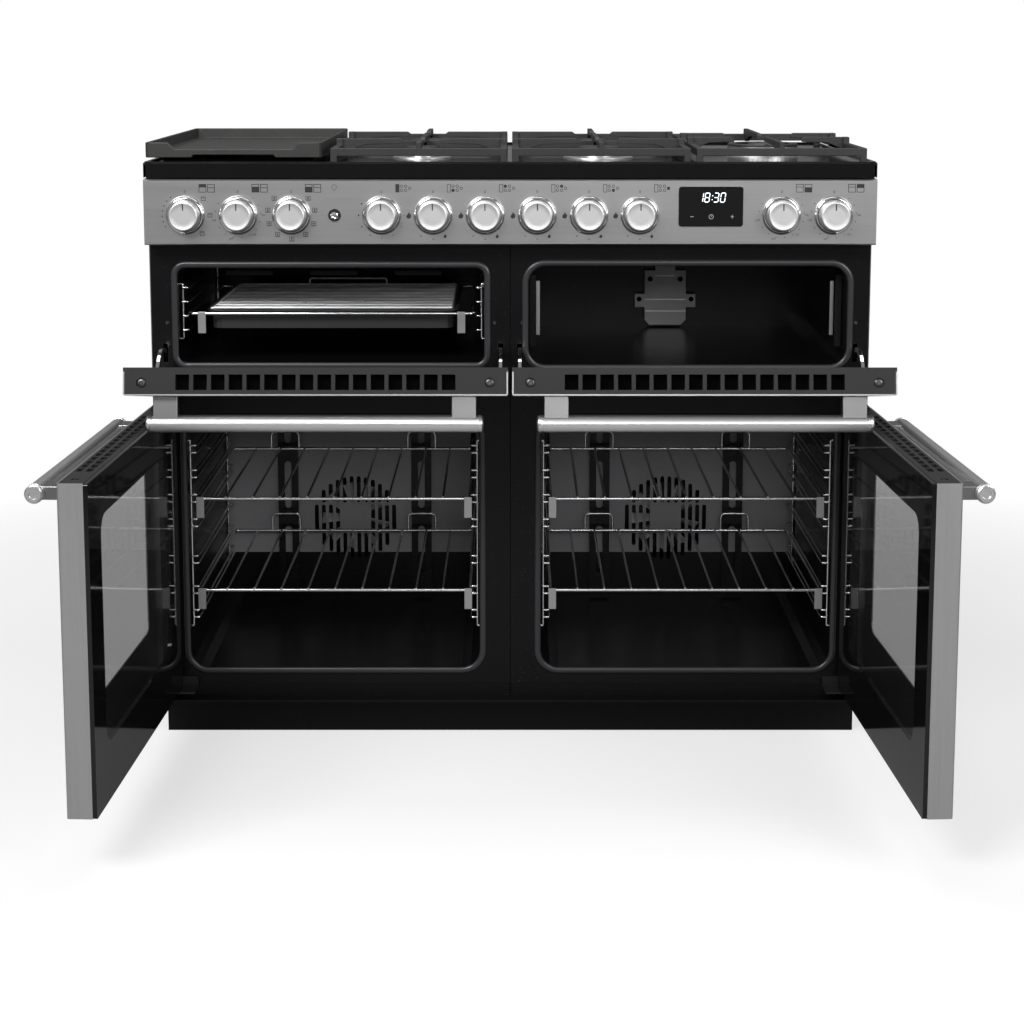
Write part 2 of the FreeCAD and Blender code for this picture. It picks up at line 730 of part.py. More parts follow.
def make_liners():
    edge = half - sheet
    x0, x1 = oven_centre - oven_opening / 2, oven_centre + oven_opening / 2
    wall_y = front + oven_depth
    shaft_hole = rod(V(oven_centre, wall_y - 1, fan_height), V(oven_centre, wall_y + through, fan_height),
                     shaft_radius + 1.5)
    right = liner(x0, x1, oven_floor, oven_roof, oven_corner, oven_depth,
                  (0, edge, front_frame_bottom, front_frame_split), [shaft_hole])
    save("oven_liners", right, mirrored(right))
    slots = [arm_slot(-x) for x in arm_offsets]
    grill = liner(grill_left, grill_right, grill_floor, grill_roof, grill_corner, upper_depth,
                  (-edge, 0, front_frame_split, panel_bottom), slots)
    slots = [arm_slot(x) for x in arm_offsets]
    small = liner(upper_oven_left, upper_oven_right, upper_oven_floor, upper_oven_roof, upper_oven_corner,
                  upper_depth, (0, edge, front_frame_split, panel_bottom), slots)
    save("upper_liners", grill, small)


def seal_ring(x0, x1, z0, z1, corner):
    """A soft D-section gasket round one opening."""
    w = seal_width
    outer = opening(x0 - w, x1 + w, front - seal_proud, front, z0 - w, z1 + w, corner + w)
    return outer.cut(opening(x0, x1, front - through, front + through, z0, z1, corner))


def make_seals():
    x0, x1 = oven_centre - oven_opening / 2, oven_centre + oven_opening / 2
    tall = seal_ring(x0, x1, oven_floor, oven_roof, oven_corner)
    save("door_seals", tall, mirrored(tall),
         seal_ring(grill_left, grill_right, grill_floor, grill_roof, grill_corner),
         seal_ring(upper_oven_left, upper_oven_right, upper_oven_floor, upper_oven_roof, upper_oven_corner))


# ---- oven fittings -------------------------------------------------------------------------------
def fan_slots(y):
    """Upright slots that fill a circle in front of the fan, in three rows."""
    slots = []
    reach, middle, bridge = fan_slot_radius, fan_slot_middle, fan_slot_bridge
    rows = [(middle + bridge, reach), (-middle, middle), (-reach, -middle - bridge)]
    count = int(reach // fan_slot_pitch)
    w = fan_slot_width / 2
    for k in range(-count + 1, count):
        x = oven_centre + k * fan_slot_pitch
        limit = math.sqrt(reach ** 2 - (k * fan_slot_pitch) ** 2)
        for low, high in rows:
            if low < 0 < high and k == 0:
                continue
            z0, z1 = fan_height + max(low, -limit), fan_height + min(high, limit)
            if z1 - z0 > fan_slot_width:
                slots.append(block(x - w, x + w, y - through, y + through, z0, z1))
    return slots


def make_baffles():
    y = front + baffle_back
    gap = seat_gap
    x0, x1 = oven_centre - oven_opening / 2 + gap, oven_centre + oven_opening / 2 - gap
    plate = opening(x0, x1, y, y + baffle_sheet, oven_floor + gap, oven_roof - gap, oven_corner)
    slots = fan_slots(y)
    ducts, vents = [], []
    for side in (-1, 1):
        x = oven_centre + side * duct_offset
        ducts.append(block(x - duct_width / 2, x + duct_width / 2, y - duct_depth, y,
                           oven_floor + 12, oven_roof - 12))
        for k in range(duct_vents):
            z = oven_floor + 42 + k * duct_vent_pitch
            vents.append(block(x - duct_vent_width / 2, x + duct_vent_width / 2, y - duct_depth - 1,
                               y + through, z, z + duct_vent_height))
    foot = block(oven_centre - 60, oven_centre + 60, y + baffle_sheet, front + oven_depth,
                 oven_floor, oven_floor + 6)
    right = less(joined([plate, *ducts, foot]), [*slots, *vents])
    save("fan_baffles", right, mirrored(right))


def fan():
    """A centrifugal impeller: back disc, raked blades and a hub bored for the motor shaft."""
    y0 = front + baffle_back + baffle_sheet + fan_setback
    y1 = y0 + fan_depth
    c = V(oven_centre, 0, fan_height)
    disc = flatted_rod(V(c.x, y1 - 1.5, c.z), V(c.x, y1, c.z), fan_radius, fan_blades)
    hub = flatted_rod(V(c.x, y0 + 4, c.z), V(c.x, y1, c.z), 11, 8)
    blades = []
    outer = fan_radius - 1
    for k in range(fan_blades):
        blade = block(outer - fan_blade_reach, outer, y0, y1 - 1, -fan_blade / 2, fan_blade / 2)
        blade = turned(blade, V(outer - fan_blade_reach / 2, 0, 0), BACK, fan_blade_rake)
        blade = turned(blade, V(0, 0, 0), BACK, k * 360.0 / fan_blades)
        blade.translate(c)
        blades.append(blade)
    bore = rod(V(c.x, y0, c.z), V(c.x, y1 + 1, c.z), shaft_radius + running_gap)
    return less(joined([disc, hub, *blades]), [bore])


def make_fans():
    right = fan()
    save("fan_right", right)
    save("fan_left", mirrored(right))
    x, z = oven_centre, fan_height
    y0 = front + baffle_back + baffle_sheet + fan_setback + 6
    y1 = front + oven_depth + enamel_wall
    y2 = y1 + motor_plate
    motor = flatted_rod(V(x, y2, z), V(x, y1 + motor_length, z), motor_radius, motor_sides)
    plate = block(x - 45, x + 45, y1, y2, z - 30, z + 30)
    shaft = rod(V(x, y0, z), V(x, y1 + 1, z), shaft_radius)
    right = joined([motor, plate, shaft])
    save("fan_motors", right, mirrored(right))


def hairpin(x0, x1, y0, y1, z, turns):
    """A flat serpentine element, its two ends through the back wall."""
    pitch = (x1 - x0) / turns
    points = [V(x0, y1, z)]
    for k in range(turns + 1):
        x = x0 + k * pitch
        ends = (y0, y1 - 30) if k % 2 else (y1 - 30, y0)
        points += [V(x, ends[0], z), V(x, ends[1], z)]
    points = points[:1] + points[2:]
    points[-1] = V(points[-1].x, y1, z)
    parts = []
    for a, b in zip(points, points[1:]):
        spare = b.sub(a).normalize() * element_wire
        start = a.sub(spare) if a.y < y1 else a
        end = b.add(spare) if b.y < y1 else b
        parts.append(flatted_rod(start, end, element_wire))
    return joined(parts)


def make_elements():
    y = front + baffle_back + baffle_sheet + fan_setback + fan_depth / 2
    coil = fan_radius + coil_gap
    a, b = V(oven_centre, y - element_wire, fan_height), V(oven_centre, y + element_wire, fan_height)
    outer = flatted_rod(a, b, coil + element_wire, coil_sides)
    ring = outer.cut(flatted_rod(a, b, coil - element_wire, coil_sides))
    low = fan_height - coil
    post = flatted_rod(V(oven_centre, y, low), V(oven_centre, front + oven_depth, low), element_wire - 0.4)
    right = joined([ring, post])
    grill = hairpin(grill_left + grill_element_inset, grill_right - grill_element_inset,
                    front + 60, front + upper_depth, grill_roof - 14, grill_element_turns)
    save("heating_elements", right, mirrored(right), grill)


def side_rack():
    """One welded wire rack of an oven: paired rungs between two uprights, held off the wall by pins."""
    x = oven_centre + rung_offset
    upright_x = x + 2 * rack_wire
    wall_x = oven_centre + oven_opening / 2
    low, high = rung_heights[0] - rack_below, rung_heights[-1] + rack_above
    wires = []
    for y in (front + rack_front, front + rack_back_upright):
        wires.append(flatted_rod(V(upright_x, y, low), V(upright_x, y, high), rack_wire))
        for z in (low + 6, high - 4):
            wires.append(flatted_rod(V(upright_x, y, z), V(wall_x, y, z), rack_wire))
    y0, y1 = front + rack_front - rung_overhang, front + rack_back
    for height in rung_heights:
        for z in (height, height + rung_gap):
            wires.append(flatted_rod(V(x, y0, z), V(x, y1, z), rack_wire))
    return joined(wires)


def grill_rack(side):
    """Runner wires of the grill cavity, one side."""
    wall_x = grill_right if side > 0 else grill_left
    x = wall_x - side * grill_rack_inset
    upright_x = x + side * 2 * rack_wire
    low, high = grill_floor + 26, grill_roof - 20
    wires = []
    for y in (front + 30, front + upper_depth - 40):
        wires.append(flatted_rod(V(upright_x, y, low), V(upright_x, y, high), rack_wire))
        for z in (low + 8, high - 8):
            wires.append(flatted_rod(V(upright_x, y, z), V(wall_x, y, z), rack_wire))
    for k in range(grill_rungs):
        z = grill_rung_low + k * grill_rung_pitch
        wires.append(flatted_rod(V(x, front + 20, z), V(x, front + upper_depth - 30, z), rack_wire))
    return joined(wires)


def upper_oven_fittings():
    """The folded bracket on the rear wall and the two side strips of the small oven."""
    y = front + upper_depth
    y0, y1 = y - bracket_stand, y - bracket_stand + sheet
    centre = (upper_oven_left + upper_oven_right) / 2 - 4
    w = bracket_half
    body = block(centre - w, centre + w, y0, y1, bracket_low, bracket_shoulder)
    head = block(centre - head_half, centre + head_half, y0, y1, bracket_shoulder, bracket_high)
    legs = [block(centre + a, centre + a + sheet, y0, y, bracket_low, bracket_shoulder - 6)
            for a in (-w, w - sheet)]
    strips = []
    y0 = front + strip_setback
    w = strip_width / 2
    for x, wall_x in ((upper_oven_left + strip_gap + w, upper_oven_left),
                      (upper_oven_right - strip_gap - w, upper_oven_right)):
        strip = block(x - w, x + w, y0 - 1, y0 + 1, strip_low, strip_high)
        pins = [flatted_rod(V(x, y0, z), V(wall_x, y0, z), 1.5) for z in (strip_low + 12, strip_high - 13)]
        strips.append(joined([strip, *pins]))
    return [joined([body, head, *legs]), *strips]


def make_racks():
    right = side_rack()
    left = right.mirror(V(oven_centre, 0, 0), RIGHT)
    save("shelf_racks", right, left, mirrored(right), mirrored(left), grill_rack(-1), grill_rack(1),
         *upper_oven_fittings())


def shelf(level):
    """A chrome wire shelf of the right oven, its side rails between two rungs."""
    z = level + rack_wire + seat_gap + shelf_wire
    reach = rung_offset - rack_wire
    x0, x1 = oven_centre - reach, oven_centre + reach
    y0, y1 = front + shelf_front, front + shelf_front + shelf_depth
    w, b = shelf_wire, shelf_bar_wire
    pieces = [flatted_rod(V(x, y0, z), V(x, y1, z), w) for x in (x0, x1)]
    pieces += [flatted_rod(V(x0 - w, y, z), V(x1 + w, y, z), w) for y in (y0 + w, y1 - w)]
    pitch = (x1 - x0) / (shelf_bars + 1)
    flush = z + w - b
    for k in range(shelf_bars):
        x = x0 + (k + 1) * pitch
        pieces.append(flatted_rod(V(x, y0 + w, flush), V(x, y1 - w, flush), b))
    y, top = y1 - w, z + hoop_rise
    for side in (-1, 1):
        x = oven_centre + side * (reach - hoop_inset)
        a, c = x - hoop_width / 2, x + hoop_width / 2
        pieces.append(flatted_rod(V(a, y, z), V(a, y, top), b))
        pieces.append(flatted_rod(V(c, y, z), V(c, y, top), b))
        pieces.append(flatted_rod(V(a - b, y, top), V(c + b, y, top), b))
    for side in (-1, 1):
        x = oven_centre + side * (reach - plate_inset)
        pieces.append(block(x - plate_width / 2, x + plate_width / 2, y0, y0 + plate_thick,
                            z - plate_height + w, z + w))
    return joined(pieces)


def make_shelves():
    for name, level in zip(("low", "high"), shelf_levels):
        right = shelf(level)
        save(f"right_shelf_{name}", right)
        save(f"left_shelf_{name}", mirrored(right))


def make_grill_set():
    """Carriage frame that runs on the cavity's wires, the enamelled pan in it and the wire grid."""
    cx = (grill_left + grill_right) / 2
    w = shelf_wire
    z = grill_rung_low + grill_rung_pitch + rack_wire + seat_gap + w
    y0, y1 = front + grill_set_front, front + grill_set_back
    rail_x = grill_half - grill_side_gap - w
    rails = [flatted_rod(V(cx + s * rail_x, y0, z), V(cx + s * rail_x, y1, z), w) for s in (-1, 1)]
    cross = [flatted_rod(V(cx - rail_x - w, y, z), V(cx + rail_x + w, y, z), w) for y in (y0 + w, y1 - w)]
    places = [cx + s * grill_plate_offset for s in (-1, 1)]
    plates = [block(x - plate_width / 2, x + plate_width / 2, y0, y0 + plate_thick,
                    z - plate_height + w, z + w) for x in places]
    save("grill_carriage", joined([*rails, *cross, *plates]))
    top = z + w + seat_gap
    brim_top = top + pan_brim_thick
    x0, x1 = cx - pan_half, cx + pan_half
    py0, py1 = y0 + pan_end_gap, y1 - pan_end_gap
    pan = tray(x0, x1, py0, py1, top - pan_depth, brim_top, pan_corner)
    inside = tray(x0 + pan_wall, x1 - pan_wall, py0 + pan_wall, py1 - pan_wall,
                  top - pan_depth + pan_wall, brim_top + 1, pan_corner - pan_wall)
    brim = tray(x0 - pan_brim, x1 + pan_brim, py0 - pan_brim, py1 + pan_brim, top, brim_top,
                pan_corner + pan_brim)
    save("grill_pan", less(joined([pan, brim]), [inside]))
    bar = grid_wire
    gz = brim_top + bar + seat_gap
    gy0, gy1 = py0 + 4, py0 + 4 + grid_length
    left_end, right_end = cx - grid_half, cx + grid_half
    frame = [flatted_rod(V(x, gy0 - bar, gz), V(x, gy1 + bar, gz), bar) for x in (left_end, right_end)]
    step = grid_length / (grid_bars - 1)
    for k in range(grid_bars):
        y = gy0 + k * step
        frame.append(flatted_rod(V(left_end, y, gz), V(right_end, y, gz), bar))
    reach, rise = grid_hoop_half, gz + grid_hoop_rise
    hoop = [flatted_rod(V(cx + s * reach, gy1, gz), V(cx + s * reach, gy1, rise), bar) for s in (-1, 1)]
    hoop.append(flatted_rod(V(cx - reach - bar, gy1, rise), V(cx + reach + bar, gy1, rise), bar))
    save("grill_grid", joined([*frame, *hoop]))


# ---- doors ---------------------------------------------------------------------------------------
def handle(x0, x1, z):
    """Round bar on two flat brackets, for a closed door."""
    y = door_face - handle_reach
    bar = flatted_rod(V(x0, y, z), V(x1, y, z), handle_radius, handle_sides)
    rise = bracket_height / 2
    brackets = [block(a, a + bracket_width, y, door_face, z - rise, z + rise)
                for a in (x0 + bracket_inset, x1 - bracket_inset - bracket_width)]
    return joined([bar, *brackets])


def door_skin(x0, x1, z0, z1, window=None):
    """A folded stainless tray: a face with returns at the sides and the foot, open to the back and top."""
    y1 = door_back - door_inner
    outer = block(x0, x1, door_face, y1, z0, z1)
    edges = [e for e in edges_along(outer, UP) if e.BoundBox.YMax < door_face + 1]
    outer = outer.makeChamfer(door_edge, edges)
    t = door_sheet
    cutters = [block(x0 + t, x1 - t, door_face + t, y1 + 1, z0 + t, z1 + 1)]
    if window:
        a, b, c, d = window
        cutters.append(opening(a, b, door_face - through, door_face + through, c, d, window_corner))
    return less(outer, cutters)


def cap_with_slots(x0, x1, z, slot_start, slot_depth, well_radius):
    """The black vent cap along a door's top edge, with its slots and its two screw wells."""
    t = door_sheet
    y0, y1 = door_face + t, door_back - door_inner
    cap = block(x0 + t, x1 - t, y0, y1, z - vent_cap, z)
    first = (x0 + x1) / 2 - (cap_slots - 1) * cap_slot_pitch / 2
    w = cap_slot_width / 2
    y = door_face + slot_start
    cutters = []
    for k in range(cap_slots):
        x = first + k * cap_slot_pitch
        cutters.append(block(x - w, x + w, y, y + slot_depth, z - vent_cap - 1, z + 1))
    y = (y0 + y1) / 2
    for x in (x0 + screw_inset, x1 - screw_inset):
        cutters.append(flatted_rod(V(x, y, z - screw_well), V(x, y, z + 1), well_radius, 6))
    return less(cap, cutters)


def lower_door():
    """The left tall door, closed: skin, frame, glass and handle."""
    x0, x1 = -half + door_side_gap, -centre_gap / 2
    z0, z1 = lower_door_bottom, lower_door_top
    t = door_sheet
    inner_y = door_back - door_inner
    wx0, wx1 = x0 + window_hinge_side, x1 - window_free_side
    wz0, wz1 = window_bottom, window_top
    skin = door_skin(x0, x1, z0, z1, (wx0, wx1, wz0, wz1))
    cap = cap_with_slots(x0, x1, z1, lower_slot_start, lower_slot_depth, lower_well)
    pivot_x = -half + lower_pivot_inset
    foot = block(x0 + t, x0 + foot_block, door_face + t, inner_y, z0 + t, z0 + t + 18)
    stiles = [block(a, a + stile_width, inner_y - stile_depth, inner_y, z0 + t, z1 - vent_cap)
              for a in (x0 + t + 36, x1 - t - stile_width)]
    bore = hinge_pin + running_gap
    pins = [rod(V(pivot_x, pivot_y, z), V(pivot_x, pivot_y, z + 40), bore) for z in (z0 - 20, z1 - 20)]
    frame = [less(cap, [pins[1]]), less(foot, [pins[0], *stiles]), *stiles]
    skin = less(skin, [rod(V(pivot_x, pivot_y, z0 - 5), V(pivot_x, pivot_y, z0 + 5), hinge_pin + 1)])
    inner = block(x0, x1, inner_y, door_back, z0, z1 - 0.5)
    lap = pane_overlap
    outer = block(wx0 - lap, wx1 + lap, door_face + t, door_face + t + pane_thick, wz0 - lap, wz1 + lap)
    bar = handle(x0 + handle_end_gap, x1 - handle_end_gap - handle_middle_gap, z1 - handle_drop)
    return {"skin": [skin], "frame": frame, "glass": [inner, outer], "handle": [bar]}


def lug_ends(x):
    """Where the fixed lug beside a hinge knuckle of the left upper door begins and ends."""
    toward_middle = -1 if x < half / 2 else 1
    near = -x + toward_middle * (knuckle_half + side_play)
    far = near + toward_middle * lug_thick
    return min(near, far), max(near, far)


def hinge_arm(x):
    """The arc from a closed drop door's inner face, through the front frame, to a quarter turn inside."""
    start = math.asin((door_back - 1 - pivot_y) / arm_radius)
    sweep = math.radians(upper_open_deg + 20)
    angles = [start + sweep * k / arm_steps for k in range(arm_steps + 1)]
    outline = [(turn, arm_radius + arm_band / 2) for turn in angles]
    outline += [(turn, arm_radius - arm_band / 2) for turn in reversed(angles)]
    points = [V(x - arm_thick / 2, pivot_y + r * math.sin(turn), upper_pivot + r * math.cos(turn))
              for turn, r in outline]
    return prism(points, V(arm_thick, 0, 0))


def upper_door():
    """The left drop door, closed: skin, black inner frame with its vent cap and hinge arms, and handle."""
    x0, x1 = -half + door_side_gap, -centre_gap / 2
    z0, z1 = upper_door_bottom, upper_door_top
    inner_y = door_back - door_inner
    cap = cap_with_slots(x0, x1, z1, upper_slot_start, upper_slot_depth, upper_well)
    inner = block(x0, x1, inner_y, door_back, z0 + 8, z1 - 0.5)
    blocks, arms, notches = [], [], []
    for x in arm_offsets:
        blocks.append(block(-x - knuckle_half, -x + knuckle_half, inner_y - knuckle_depth, inner_y,
                            z0 + door_sheet, z0 + knuckle_block))
        a, b = lug_ends(x)
        notches.append(block(a - side_play, b + side_play, pivot_y - 8, door_back + 1,
                             z0 - 1, upper_pivot + 9))
        arms.append(hinge_arm(-x))
    bore = hinge_pin + running_gap
    pin_hole = rod(V(x0 - 5, pivot_y, upper_pivot), V(x1 + 5, pivot_y, upper_pivot), bore)
    frame = [cap, less(joined([inner, *blocks, *arms]), [pin_hole, *notches])]
    skin = less(door_skin(x0, x1, z0, z1), notches)
    bar = handle(x0 + handle_end_gap, x1 - handle_end_gap - handle_middle_gap, z1 - handle_drop)
    return {"skin": [skin], "frame": frame, "handle": [bar]}


def make_doors():
    pivot_x = -half + lower_pivot_inset
    for part, shapes in lower_door().items():
        opened = [turned(s, V(pivot_x, pivot_y, 0), UP, -lower_open_deg) for s in shapes]
        save(f"lower_left_door_{part}", *opened)
        save(f"lower_right_door_{part}", *[mirrored(s) for s in opened])
    for part, shapes in upper_door().items():
        opened = [turned(s, V(0, pivot_y, upper_pivot), RIGHT, upper_open_deg) for s in shapes]
        save(f"upper_left_door_{part}", *opened)
        save(f"upper_right_door_{part}", *[mirrored(s) for s in opened])


def make_hinges():
    """Fixed hinge plates on the front frame, with their pivot pins, for the left side and mirrored."""
    x = -half + lower_pivot_inset
    y = pivot_y - 9
    pieces = []
    low = lower_door_bottom - hinge_gap
    arm = block(x - 9, x + hinge_reach, y, front, low - hinge_plate, low)
    tab = block(x + 10, x + hinge_reach, front - hinge_plate, front, low - hinge_plate, low + hinge_tab)
    pin = rod(V(x, pivot_y, low - 1), V(x, pivot_y, lower_door_bottom + 18), hinge_pin)
    pieces.append(joined([arm, tab, pin]))
    high = lower_door_top + hinge_gap
    arm = block(x - 9, x + 30, y, front, high, high + hinge_plate)
    pin = rod(V(x, pivot_y, lower_door_top - 10), V(x, pivot_y, high + 1), hinge_pin)
    pieces.append(joined([arm, pin]))
    for x in arm_offsets:
        a, b = lug_ends(x)
        lug = block(a, b, pivot_y - 6, front, upper_pivot - lug_height / 2, upper_pivot + lug_height / 2)
        inside = -x + (3 if a > -x else -3)
        pin = rod(V(inside, pivot_y, upper_pivot), V((a + b) / 2, pivot_y, upper_pivot), hinge_pin)
        pieces.append(joined([lug, pin]))
    save("door_hinges", *pieces, *[mirrored(p) for p in pieces])


os.makedirs("parts", exist_ok=True)
make_side_panels()
make_rear_panel()
make_base_frame()
make_plinth()
make_levelling_feet()
make_control_panel()
make_bezels()
make_knobs()
make_lamp_button()
make_clock()
make_taps()
make_hob()
make_burners()
make_pan_supports()
make_griddle()
make_liners()
make_seals()
make_baffles()
make_fans()
make_elements()
make_racks()
make_shelves()
make_grill_set()
make_doors()
make_hinges()
print(len(written), "nodes")
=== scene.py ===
"""Looks for the range cooker with two tall ovens, a grill cavity and a small upper oven.

Metres, in the CAD frame: +X right as seen from the front, +Y back, +Z up, floor at Z 0.
"""
import json
import math

import bmesh
import bpy
from mathutils import Matrix, Vector


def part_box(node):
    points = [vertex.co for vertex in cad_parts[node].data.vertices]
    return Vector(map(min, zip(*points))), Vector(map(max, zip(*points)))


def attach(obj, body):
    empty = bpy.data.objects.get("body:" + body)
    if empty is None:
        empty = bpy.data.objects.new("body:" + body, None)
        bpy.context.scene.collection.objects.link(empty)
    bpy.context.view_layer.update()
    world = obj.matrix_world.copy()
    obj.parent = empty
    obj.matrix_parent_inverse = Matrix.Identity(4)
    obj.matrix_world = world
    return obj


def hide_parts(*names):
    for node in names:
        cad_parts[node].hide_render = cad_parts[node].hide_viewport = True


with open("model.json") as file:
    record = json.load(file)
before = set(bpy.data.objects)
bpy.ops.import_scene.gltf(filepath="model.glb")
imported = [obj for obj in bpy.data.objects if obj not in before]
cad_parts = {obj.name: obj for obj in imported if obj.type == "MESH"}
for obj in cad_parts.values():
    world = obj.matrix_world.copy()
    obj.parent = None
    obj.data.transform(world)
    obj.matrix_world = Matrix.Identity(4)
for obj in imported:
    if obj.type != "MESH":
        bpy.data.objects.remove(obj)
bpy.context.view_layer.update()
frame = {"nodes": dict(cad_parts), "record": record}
nodes = frame["nodes"]
home = {node: body for body, members in frame["record"]["behaviour"]["bodies"].items() for node in members}
mm = 0.001

# ---- sizes ----
front = -280 * mm                 # front frame of the ovens
face = -318 * mm                  # front of the control panel
knob_z = 823 * mm
cooking_surface = 900 * mm
lower_hinge = Vector((-538 * mm, -310 * mm, 0))
upper_hinge = Vector((0, -310 * mm, 560 * mm))
lower_open = math.radians(92.5)
upper_open = math.radians(79.8)
door_back = -284 * mm
door_face = -324 * mm
inner_skin = 6 * mm
handle_radius = 12.5 * mm
handle_reach = 40 * mm
knobs = {node: (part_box(node)[0].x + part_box(node)[1].x) / 2 for node in nodes
         if node.startswith("knob_") and node != "knob_bezels"}
button_x = sum(c.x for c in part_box("lamp_button")) / 2
oven_centre = 273.75 * mm
fan_z = 248 * mm


# ---- paints ----
class Value:
    """A shader socket on which Python's operators add Math nodes."""

    def __init__(self, paint, socket):
        self.paint, self.socket = paint, socket

    def maths(self, operation, *terms):
        return self.paint.node("ShaderNodeMath", {"operation": operation}, *terms)

    def __add__(self, other):
        return self.maths("ADD", self, other)

    def __sub__(self, other):
        return self.maths("SUBTRACT", self, other)

    def __mul__(self, other):
        return self.maths("MULTIPLY", self, other)

    def __truediv__(self, other):
        return self.maths("DIVIDE", self, other)

    def __gt__(self, other):
        return self.maths("GREATER_THAN", self, other)

    def __lt__(self, other):
        return self.maths("LESS_THAN", self, other)

    __radd__ = __add__
    __rmul__ = __mul__

    def clamped(self, low=0.0, high=1.0):
        return self.paint.node("ShaderNodeClamp", {}, self, low, high)


class Nodes:
    """A node tree whose nodes all come from one method."""

    def __init__(self, tree):
        self.tree = tree

    def feed(self, socket, value):
        if isinstance(value, Value):
            self.tree.links.new(value.socket, socket)
        else:
            socket.default_value = value

    def node(self, kind, settings, *values, out=0, **named):
        made = self.tree.nodes.new(kind)
        for key, value in settings.items():
            setattr(made, key, value)
        for socket, value in zip(made.inputs, values):
            self.feed(socket, value)
        for key, value in named.items():
            self.feed(made.inputs[key.replace("_", " ")], value)
        return Value(self, made.outputs[out])

    def seen_white(self, glossy):
        """1 for what the camera sees or sees through glass, and a share of that in reflections."""
        camera, shine, through = (self.node("ShaderNodeLightPath", {}, out=name) for name in
                                  ("Is Camera Ray", "Is Glossy Ray", "Is Transmission Ray"))
        return (camera + through + glossy * shine).clamped()


class Paint(Nodes):
    """A named finish: one Principled shader and the nodes that vary it."""

    def __init__(self, name, colour, roughness=0.5, metallic=0.0, **sockets):
        self.material = bpy.data.materials.new(name)
        self.material.use_nodes = True
        super().__init__(self.material.node_tree)
        self.shader = self.tree.nodes["Principled BSDF"]
        self.set("Base Color", (*colour, 1.0))
        self.set("Roughness", roughness)
        self.set("Metallic", metallic)
        for socket, value in sockets.items():
            self.set(socket.replace("_", " "), value)

    def set(self, socket, value):
        self.feed(self.shader.inputs[socket], value)

    def place(self):
        return self.node("ShaderNodeTexCoord", {}, out="Object")

    def axis(self, name):
        return self.node("ShaderNodeSeparateXYZ", {}, self.place(), out=name)

    def noise(self, scale, detail=2.0, stretch=(1, 1, 1), roughness=0.5):
        spread = self.node("ShaderNodeMapping", {}, Vector=self.place(), Scale=stretch)
        return self.node("ShaderNodeTexNoise", {}, Vector=spread, Scale=scale, Detail=detail,
                         Roughness=roughness)

    def specks(self, scale, size):
        cell = self.node("ShaderNodeTexVoronoi", {}, Vector=self.place(), Scale=scale, out="Distance")
        return cell < size

    def between(self, factor, low, high):
        made = self.node("ShaderNodeMix", {"data_type": "RGBA"}, factor, out=2)
        mixer = made.socket.node
        self.feed(mixer.inputs[6], (*low, 1.0))
        self.feed(mixer.inputs[7], (*high, 1.0))
        return made

    def bump(self, height, strength, distance=0.001):
        self.set("Normal", self.node("ShaderNodeBump", {}, Strength=strength, Distance=distance,
                                     Height=height))
        return self


def brushed(name, tone, stretch, roughness=0.33, spread=0.1):
    """Stainless with fine brush lines; the lines run along the axis with the small stretch."""
    paint = Paint(name, (tone, tone, tone), roughness, 1.0)
    lines = paint.noise(1.0, 3.0, stretch, 0.6)
    paint.set("Base Color", paint.between(lines, [tone * (1 - spread)] * 3, [tone * (1 + spread)] * 3))
    paint.set("Roughness", roughness - 0.06 + 0.12 * lines)
    return paint.bump(lines, 0.04, 0.0002)


def varied(name, colour, rough, spread, scale, metallic=0.0, detail=2.0, stretch=(1, 1, 1), **sockets):
    """A paint whose roughness drifts over the surface."""
    paint = Paint(name, colour, rough, metallic, **sockets)
    paint.set("Roughness", rough + spread * paint.noise(scale, detail, stretch))
    return paint


def grained(name, colour, rough, scale, strength, distance=0.0003, **sockets):
    """A paint with a fine moulded or sprayed grain."""
    paint = Paint(name, colour, rough, **sockets)
    return paint.bump(paint.noise(scale), strength, distance)


def vitreous(name, tone, rough):
    """Glossy enamel with a clouded shine and a slight orange peel."""
    paint = varied(name, cool_grey(tone), rough, 0.10, 9.0, 0.0, 3.0, Specular_IOR_Level=0.22)
    return paint.bump(paint.noise(70.0), 0.05, 0.0004)


def cool_grey(tone):
    return tone, tone, tone * 1.04


def enamel(name, tone, speck_tone, rough, scale=190.0, speck=0.06):
    """Vitreous enamel with fine pale specks."""
    paint = vitreous(name, tone, rough)
    paint.set("Base Color", paint.between(paint.specks(scale, speck), cool_grey(tone), [speck_tone] * 3))
    return paint


def cast_iron(name, tone, roughness, tint=(1, 1, 1)):
    """Matt enamelled iron: pebbly, a little paler on the worn grain."""
    paint = Paint(name, [tone * t for t in tint], roughness)
    pebble = paint.noise(900.0, 3.0, roughness=0.65)
    wear = paint.noise(24.0, 4.0)
    paint.set("Base Color", paint.between(wear, [tone * t * 0.75 for t in tint],
                                          [tone * t * 1.35 for t in tint]))
    paint.set("Roughness", roughness - 0.08 + 0.2 * pebble)
    return paint.bump(pebble, 0.25, 0.0006)


bare_metal = 1.0
panel_steel = brushed("panel stainless", 0.43, (3, 900, 900), 0.36)
door_steel = brushed("door stainless", 0.58, (900, 900, 4), 0.38)
drop_steel = brushed("drop door stainless", 0.46, (3, 900, 900), 0.36)
bar_steel = brushed("handle stainless", 0.86, (3, 700, 700), 0.30, 0.04)
# The handle brackets take a much darker copy of the handle's stainless: painted shade.
shaded_bracket_steel = brushed("handle bracket stainless", 0.30, (3, 700, 700), 0.32, 0.05)
chrome = varied("chrome", (0.80, 0.80, 0.81), 0.06, 0.06, 180.0, bare_metal)
bracket_sheet = varied("folded bracket sheet", (0.30, 0.30, 0.305), 0.34, 0.16, 60.0, 0.4, 3.0)
# Pale, non-metal alloy: painted highlight on the fan blades.
highlight_pale_fan_alloy = varied("fan alloy", (0.92, 0.92, 0.92), 0.28, 0.16, 60.0, detail=3.0)
wire_chrome = varied("wire chrome", (0.72, 0.72, 0.73), 0.13, 0.14, 400.0, bare_metal)
